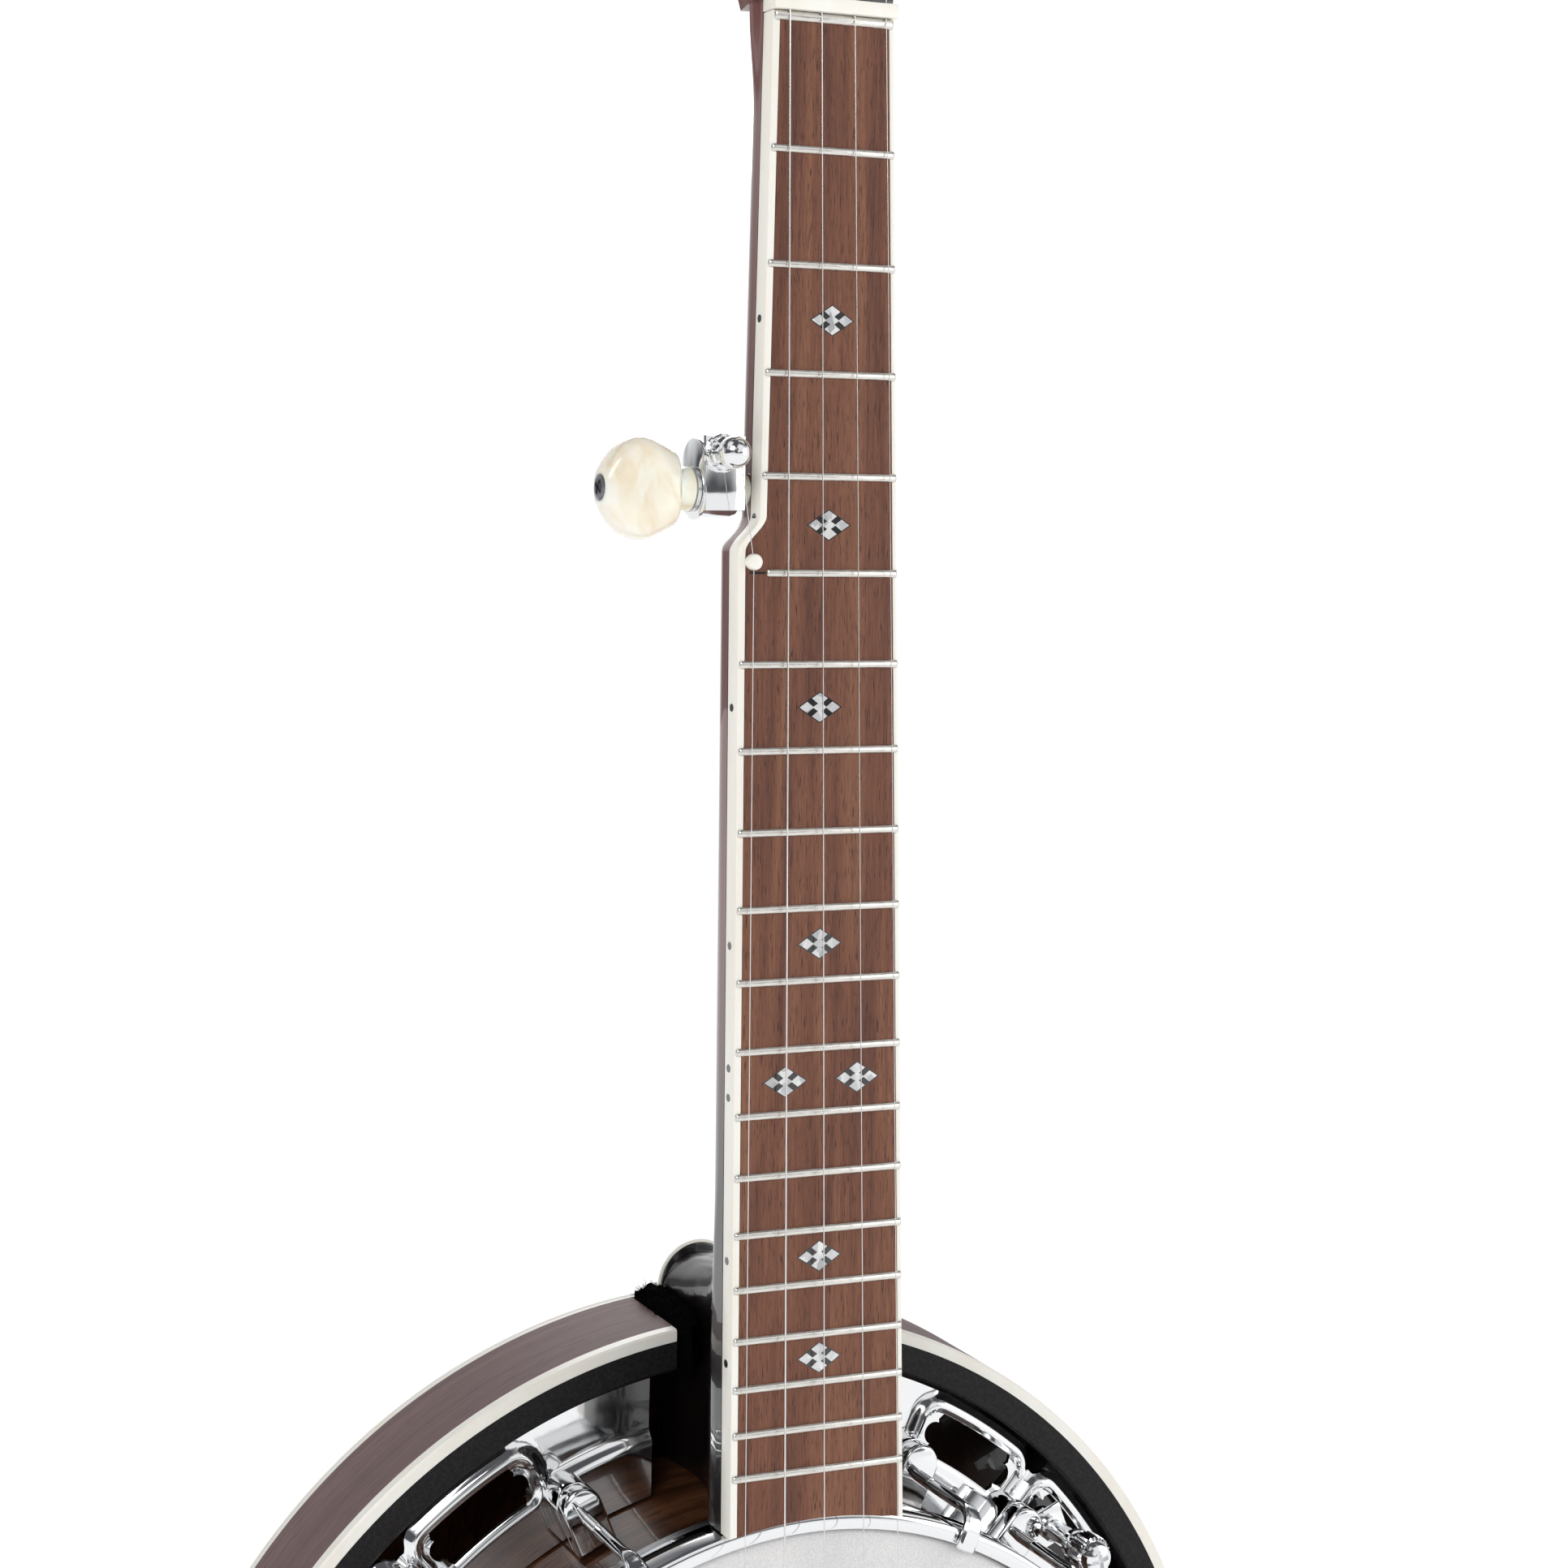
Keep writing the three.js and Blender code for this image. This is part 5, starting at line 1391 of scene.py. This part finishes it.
def add_tailpiece():
    base = bent_strip([(-110.9, -110), (-110.9, -112), (-110.9, -130), (-110.9, -146), (-110.4, -148.6),
                       (-109, -150), (-106, -150.4), (-90, -150.4), (-66, -150.4), (-63, -150.4)],
                      [16, 17, 17, 17, 15, 12, 9.5, 9, 9, 7], 1.7)
    ears = [along_x(turned([(0.8, x), (1.7, x), (1.7, x + 3.6), (0.8, x + 3.6)], 24)) for x in (-14, 10.4)]
    ears = [moved(ear, shift(0, TAIL_Y, TAIL_Z)) for ear in ears]
    supports = [slab(x, x + 3.6, -152.2, -148, TAIL_Y, -110.6, 0.3)
                for x in (-14, 10.4)]
    pin = moved(along_x(turned([(0, -14.6), (0.75, -14.4), (0.75, 14.4), (0, 14.6)], 20, closed=False)),
                shift(0, TAIL_Y, TAIL_Z))
    hole = moved(turned([(0, -5), (3.3, -5), (3.3, 5), (0, 5)], 32, closed=False),
                 shift(0, TAIL_BOLT_Y, -150) @ Matrix.Rotation(math.pi / 2, 4, "X"))
    piece("tailpiece_base", *base, CHROME, replaces=["tailpiece"], cuts=[bare(*hole)], crease=40)
    piece("tailpiece_ears", *merged(*ears, *supports, pin), CHROME)
    pin_shape = turned([(0, -114.6), (1.1, -114.5), (1.4, -114), (0.8, -113.4), (0.8, -111), (0, -111)], 20,
                       closed=False)
    posts = [moved(pin_shape, shift(x, 0, -139.5)) for _, _, x, _ in STRINGS.values()]
    piece("tailpiece_pins", *merged(*posts), CHROME)
    lid = bent_strip([(-113.9, -152.6), (-115.2, -152), (-116.2, -150.4), (-116.4, -147), (-116.4, -140),
                      (-116.4, -120), (-116.2, -114), (-115.6, -112)],
                     [9.6, 9.8, 10, 13, 16, 16, 16, 14], 1.2)
    knuckle = moved(along_x(turned([(0.9, -10), (1.8, -9.7), (1.8, 9.7), (0.9, 10)], 28)),
                    shift(0, TAIL_Y, TAIL_Z))
    piece("tailpiece_cover", *lid, CHROME, "lid", replaces=["tailpiece_lid"], crease=40)
    piece("tailpiece_knuckle", *knuckle, CHROME, "lid")
    turn = shift(0, TAIL_BOLT_Y, 0) @ Matrix.Rotation(math.pi / 2, 4, "X")
    shank = turned([(0, 112), (3, 112.4), (3, 156.4), (0, 157)], 28, closed=False)
    nuts = [plate(hexagon(5.8), a, b, 0.5)
            for a, b in ((112.6, 117.6), (151.6, 156))]
    piece("tailpiece_bolt_shaped", *merged(shank, *nuts), STEEL, place=turn, replaces=["tailpiece_bolt"])


def add_armrest():
    rings = []
    profile = [(140.4, -117.4), (141, -117.9), (150, -118.3), (154.5, -118), (156.4, -117), (157, -115.4),
               (157, -109.2), (156.2, -109), (155.6, -109.4), (155.5, -115), (154.8, -116.2), (150, -116.9),
               (141, -116.6)]
    for i in range(49):
        share = i / 48
        pull = 1 - abs(2 * share - 1) ** 6
        angle = lerp(-150, -105, share)
        rings.append([(*polar(lerp(154, r, 0.35 + 0.65 * pull), angle), y) for r, y in profile])
    body = loft([[(x, y, z) for x, z, y in ring] for ring in rings])
    piece("armrest_plate", *body, CHROME, replaces=["armrest"], crease=60)
    for i, angle in enumerate((-115.5, -133.9), 1):
        place = turn_y(angle)
        leg = bent_strip([(-117, 152.6), (-112, 153.2), (-104, 153.4), (-96, 153.4), (-93, 153)],
                         [4, 4, 4, 4, 3.4], 1.4)
        clamp = slab(-5, 5, 147, 154.6, -99, -93, 0.8)
        bolt, arms = screw_head(2.4, 1.6)
        turn = shift(0, -96, 154.4) @ Matrix.Rotation(-math.pi / 2, 4, "X")
        piece(f"armrest_leg_{i}", *merged(leg, clamp), CHROME, place=place)
        piece(f"armrest_bolt_{i}", *bolt, CHROME, place=place @ turn,
              cuts=[bare(*arm, place @ turn) for arm in arms])


def add_inside():
    """The rods, the tone ring and the truss rod keep their own shapes and get better finishes."""
    finishes = {"coordinator_rod_front": STEEL, "coordinator_rod_back": STEEL, "tone_ring": BRASS,
                "truss_rod": STEEL}
    for name, material in finishes.items():
        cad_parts[name].data.materials.clear()
        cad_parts[name].data.materials.append(material)


# ---------------------------------------------------------------- tuners


def button_shape():
    """A keystone-shaped button along +X from its collar, broad across z and slim across y."""
    stations = [(0, 8.6, 5.0), (0.15, 9.3, 5.4), (0.7, 10.6, 5.9), (1.5, 11.4, 6.2), (5.2, 13.3, 6.6),
                (9.4, 15.2, 7.0), (12, 15.8, 7.2), (15.3, 15.4, 7.1), (18.7, 13.8, 6.8), (21.2, 11.4, 6.3),
                (23.2, 8.6, 5.7), (24.5, 6.2, 5.1), (25.0, 5.0, 4.6), (25.1, 4.4, 4.2)]
    rings = []
    for x, high, deep in stations:
        ring = []
        for j in range(64):
            a = 2 * math.pi * j / 64
            c, s = math.cos(a), math.sin(a)
            ring.append((x, deep * math.copysign(abs(s) ** 0.62, s), high * math.copysign(abs(c) ** 0.72, c)))
        rings.append(ring)
    return loft(rings)


def collar_shape():
    return along_x(turned([(0, -5), (6.2, -5), (6.9, -4.4), (6.8, -2.6), (6.3, -1.0), (6.6, 0.2), (0, 0.2)],
                          48, closed=False))


def case_outline(spread):
    """The tuner case seen along its knob, as [y, z] points: one round end for the post's gear and
    a bigger one round the worm."""
    outline = []
    for middle, start, high, deep in ((-2.4, 0, 6.6, 7.0), (WORM_Z - 0.4, 180, 8.4, 7.4)):
        for i in range(21):
            a = math.radians(start + 180 * i / 20)
            outline.append((WORM_Y + (deep + spread) * math.cos(a), middle + (high + spread) * math.sin(a)))
    return outline


def case_shape():
    """The housing: a broad thin plate on the knob's side and a body that ends in a rounded edge."""
    across = Matrix(((0, 1, 0, 0), (1, 0, 0, 0), (0, 0, 1, 0), (0, 0, 0, 1)))
    levels = [(-4.6, 0.35), (-4.4, -0.1), (5.6, -0.1), (7.6, -0.7), (8.5, -1.8), (8.7, -3)]
    body = loft([[(y, x, z) for y, z in case_outline(spread)] for x, spread in levels])
    side = plate(case_outline(0.7), -5.6, -4.5, 0.3)
    foot = slab(-5.2, 8.2, -17.4, 5.4, 0.3, 2.4, 0.3)
    return merged(moved(body, across), moved(side, across)), foot


def star_nut():
    """The bushing nut of the fifth tuner, with eight notches round its rim."""
    rings = []
    profile = ((0.3, 5.9), (-1.0, 5.9), (-1.3, 5.5), (-1.3, 5.2), (-3.2, 5.0), (-3.8, 4.4), (-3.8, 3.2),
               (-1, 3.2))
    for y, size in profile:
        ring = []
        for i in range(96):
            a = 2 * math.pi * i / 96
            notch = 0.85 if y < -1.2 and size > 4 and math.cos(8 * a) > 0.72 else 0
            ring.append(((size - notch) * math.sin(a), y, (size - notch) * math.cos(a)))
        rings.append(ring)
    return loft(rings)


def post_shape(front):
    """A post with a ball tip, a narrow waist for the string and a plain shank."""
    radius = 5.05
    turns = [math.pi * 0.8 * i / 14 for i in range(15)]
    ball = [(radius * math.sin(a), front + radius - radius * math.cos(a)) for a in turns]
    shank = [(2.5, front + 9.4), (2.5, front + 11.4), (3.1, front + 12.2), (3.1, 9), (0, 9)]
    return turned([(0, ball[0][1])] + ball[1:] + shank, 48, closed=False)


def add_tuner(number, side, front, place):
    """A tuner in its own frame. The knob's parts are built towards +X and turned to their side."""
    turn = Matrix.Rotation(math.pi, 4, "Z") if side < 0 else WORLD
    knob = place @ shift(0, WORM_Y, WORM_Z) @ turn
    flip = Matrix.Diagonal((-side, 1, 1, 1))
    housing, foot = case_shape()
    piece(f"tuner_housing_{number}", *moved(housing, flip), CHROME, place=place,
          replaces=[f"tuner_case_{number}"])
    piece(f"tuner_foot_{number}", *moved(foot, flip), CHROME, place=place)
    piece(f"tuner_pillar_{number}", *post_shape(front), CHROME, f"post_{number}", place,
          [f"tuner_post_{number}"], crease=40)
    body = f"knob_{number}"
    washer = moved(turned([(2, 0), (7, 0), (7, 1.2), (2, 1.2)], 48), shift(0, 5.8, 0))
    piece(f"tuner_washer_{number}", *along_x(washer), ALUMINIUM, body, knob, [f"tuner_shaft_{number}"])
    reach = shift(12, 0, 0)
    piece(f"tuner_collar_{number}", *moved(collar_shape(), reach), CREAM, body, knob)
    piece(f"tuner_knob_{number}", *moved(button_shape(), shift(11.7, 0, 0)), CREAM, body, knob,
          [f"tuner_button_{number}"], crease=60)
    head, arms = screw_head(4.2, 0.8, 32)
    outward = knob @ shift(36.7, 0, 0) @ Matrix.Rotation(math.pi / 2, 4, "Z") @ Matrix.Rotation(0.6, 4, "Y")
    piece(f"tuner_end_screw_{number}", *head, DARK_STEEL, body, outward,
          cuts=[bare(*arm, outward) for arm in arms])


def add_tuners():
    back = HEADSTOCK_BACK + 0.2
    for number, (side, z) in HEADSTOCK_POSTS.items():
        place = HEADSTOCK @ shift(side * POST_X, back, z)
        add_tuner(number, side, -back - 14, place)
        front = HEADSTOCK @ shift(side * POST_X, 0, z)
        washer = turned([(3.2, -0.8), (6.6, -0.8), (6.8, -0.4), (6.8, 0.1), (3.2, 0.1)], 40)
        nut = plate(hexagon(5.6), -3.4, -0.7, 0.5)
        bore = bare(*turned([(0, -9), (3.25, -9), (3.25, 9), (0, 9)], 32, closed=False), front)
        piece(f"bushing_washer_{number}", *washer, CHROME, place=front)
        piece(f"bushing_nut_{number}", *nut, CHROME, place=front, cuts=[bore])
    fifth = NECK @ shift(*FIFTH_POST)
    add_tuner(5, -1, -13.5, fifth)
    piece("bushing_nut_5", *star_nut(), CHROME, place=fifth, crease=30)
    spacer = along_x(turned([(0, -26.4), (5.2, -26.4), (5.2, -23.2), (0, -23.2)], 40, closed=False))
    place = NECK @ shift(0, FIFTH_POST.y + WORM_Y, FIFTH_POST.z + WORM_Z)
    piece("fifth_tuner_spacer_shaped", *spacer, CREAM, place=place, replaces=["fifth_tuner_spacer"])


# ---------------------------------------------------------------- assembly

add_fretboard()
add_frets()
add_inlays()
add_side_dots()
add_neck()
add_headstock()
add_strings()
add_pot()
add_flange()
add_hooks()
add_resonator()
add_notch_felt()
add_screws()
add_bridge()
add_tailpiece()
add_armrest()
add_inside()
add_tuners()

# ---------------------------------------------------------------- floor, light and camera


def add_floor():
    size = 6
    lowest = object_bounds()[0].z
    mesh = bpy.data.meshes.new("floor")
    corners = [(x, y, lowest) for x, y in ((-size, -size), (size, -size), (size, size), (-size, size))]
    mesh.from_pydata(corners, [], [(0, 1, 2, 3)])
    floor = bpy.data.objects.new("floor", mesh)
    bpy.context.scene.collection.objects.link(floor)
    shader = Shader("floor", Base_Color=(0.3, 0.3, 0.3, 1), Roughness=0.8)
    shader.bsdf.inputs["Emission Color"].default_value = (1, 1, 1, 1)
    shader.bsdf.inputs["Emission Strength"].default_value = 0.85
    mesh.materials.append(shader.material)


def add_lamp(name, place, target, size, power):
    data = bpy.data.lights.new(name, "AREA")
    data.shape = "RECTANGLE"
    data.size, data.size_y = size
    data.energy = power
    lamp = bpy.data.objects.new(name, data)
    lamp.location = place
    lamp.rotation_mode = "QUATERNION"
    lamp.rotation_quaternion = (Vector(target) - Vector(place)).to_track_quat("-Z", "Y")
    bpy.context.scene.collection.objects.link(lamp)


def add_studio():
    """White all round for the camera; bright panels and dark gaps for reflections."""
    world = bpy.data.worlds.new("studio")
    bpy.context.scene.world = world
    world.use_nodes = True
    nodes, links = world.node_tree.nodes, world.node_tree.links
    nodes.clear()
    coords = nodes.new("ShaderNodeTexCoord")
    bands = nodes.new("ShaderNodeTexNoise")
    bands.inputs["Scale"].default_value = 1.6
    bands.inputs["Detail"].default_value = 1.0
    ramp = nodes.new("ShaderNodeValToRGB")
    ramp.color_ramp.elements[0].position = 0.40
    ramp.color_ramp.elements[0].color = (0.10, 0.10, 0.11, 1)
    ramp.color_ramp.elements[1].position = 0.56
    ramp.color_ramp.elements[1].color = (1, 1, 1, 1)
    path = nodes.new("ShaderNodeLightPath")
    mix = nodes.new("ShaderNodeMixShader")
    seen, lit = nodes.new("ShaderNodeBackground"), nodes.new("ShaderNodeBackground")
    seen.inputs["Color"].default_value = (1, 1, 1, 1)
    seen.inputs["Strength"].default_value = 1.05
    lit.inputs["Strength"].default_value = 0.95
    output = nodes.new("ShaderNodeOutputWorld")
    links.new(coords.outputs["Generated"], bands.inputs["Vector"])
    links.new(bands.outputs["Fac"], ramp.inputs[0])
    links.new(ramp.outputs[0], lit.inputs["Color"])
    links.new(path.outputs["Is Camera Ray"], mix.inputs[0])
    links.new(lit.outputs[0], mix.inputs[1])
    links.new(seen.outputs[0], mix.inputs[2])
    links.new(mix.outputs[0], output.inputs[0])
    add_lamp("key", (-1.2, -1.3, 1.4), (0, 0, 0.3), (0.9, 0.9), 12)
    add_lamp("fill", (1.5, -1.2, 0.6), (0, 0, 0.3), (1.2, 1.2), 6)
    add_lamp("back", (0.6, 1.4, 1.2), (0, 0, 0.2), (1.0, 1.0), 8)


CAMERA_PLACE = (-0.3962, -0.8280, 0.4652)
CAMERA_FORWARD = (0.3649, 0.9303, -0.0365)
CAMERA_ROLL = 0.0198
CAMERA_LENS = 61.31
CAMERA_SHIFT = (0.1858, -0.1330)


def add_camera():
    data = bpy.data.cameras.new("camera")
    data.sensor_width = 36
    data.lens = CAMERA_LENS
    data.shift_x, data.shift_y = CAMERA_SHIFT
    camera = bpy.data.objects.new("camera", data)
    camera.location = CAMERA_PLACE
    camera.rotation_mode = "QUATERNION"
    aim = Vector(CAMERA_FORWARD).to_track_quat("-Z", "Y")
    camera.rotation_quaternion = aim @ Matrix.Rotation(CAMERA_ROLL, 4, "Z").to_quaternion()
    data.clip_start = 0.02
    bpy.context.scene.collection.objects.link(camera)
    bpy.context.scene.camera = camera


add_floor()
add_studio()
add_camera()
bpy.context.scene.view_settings.view_transform = "Standard"
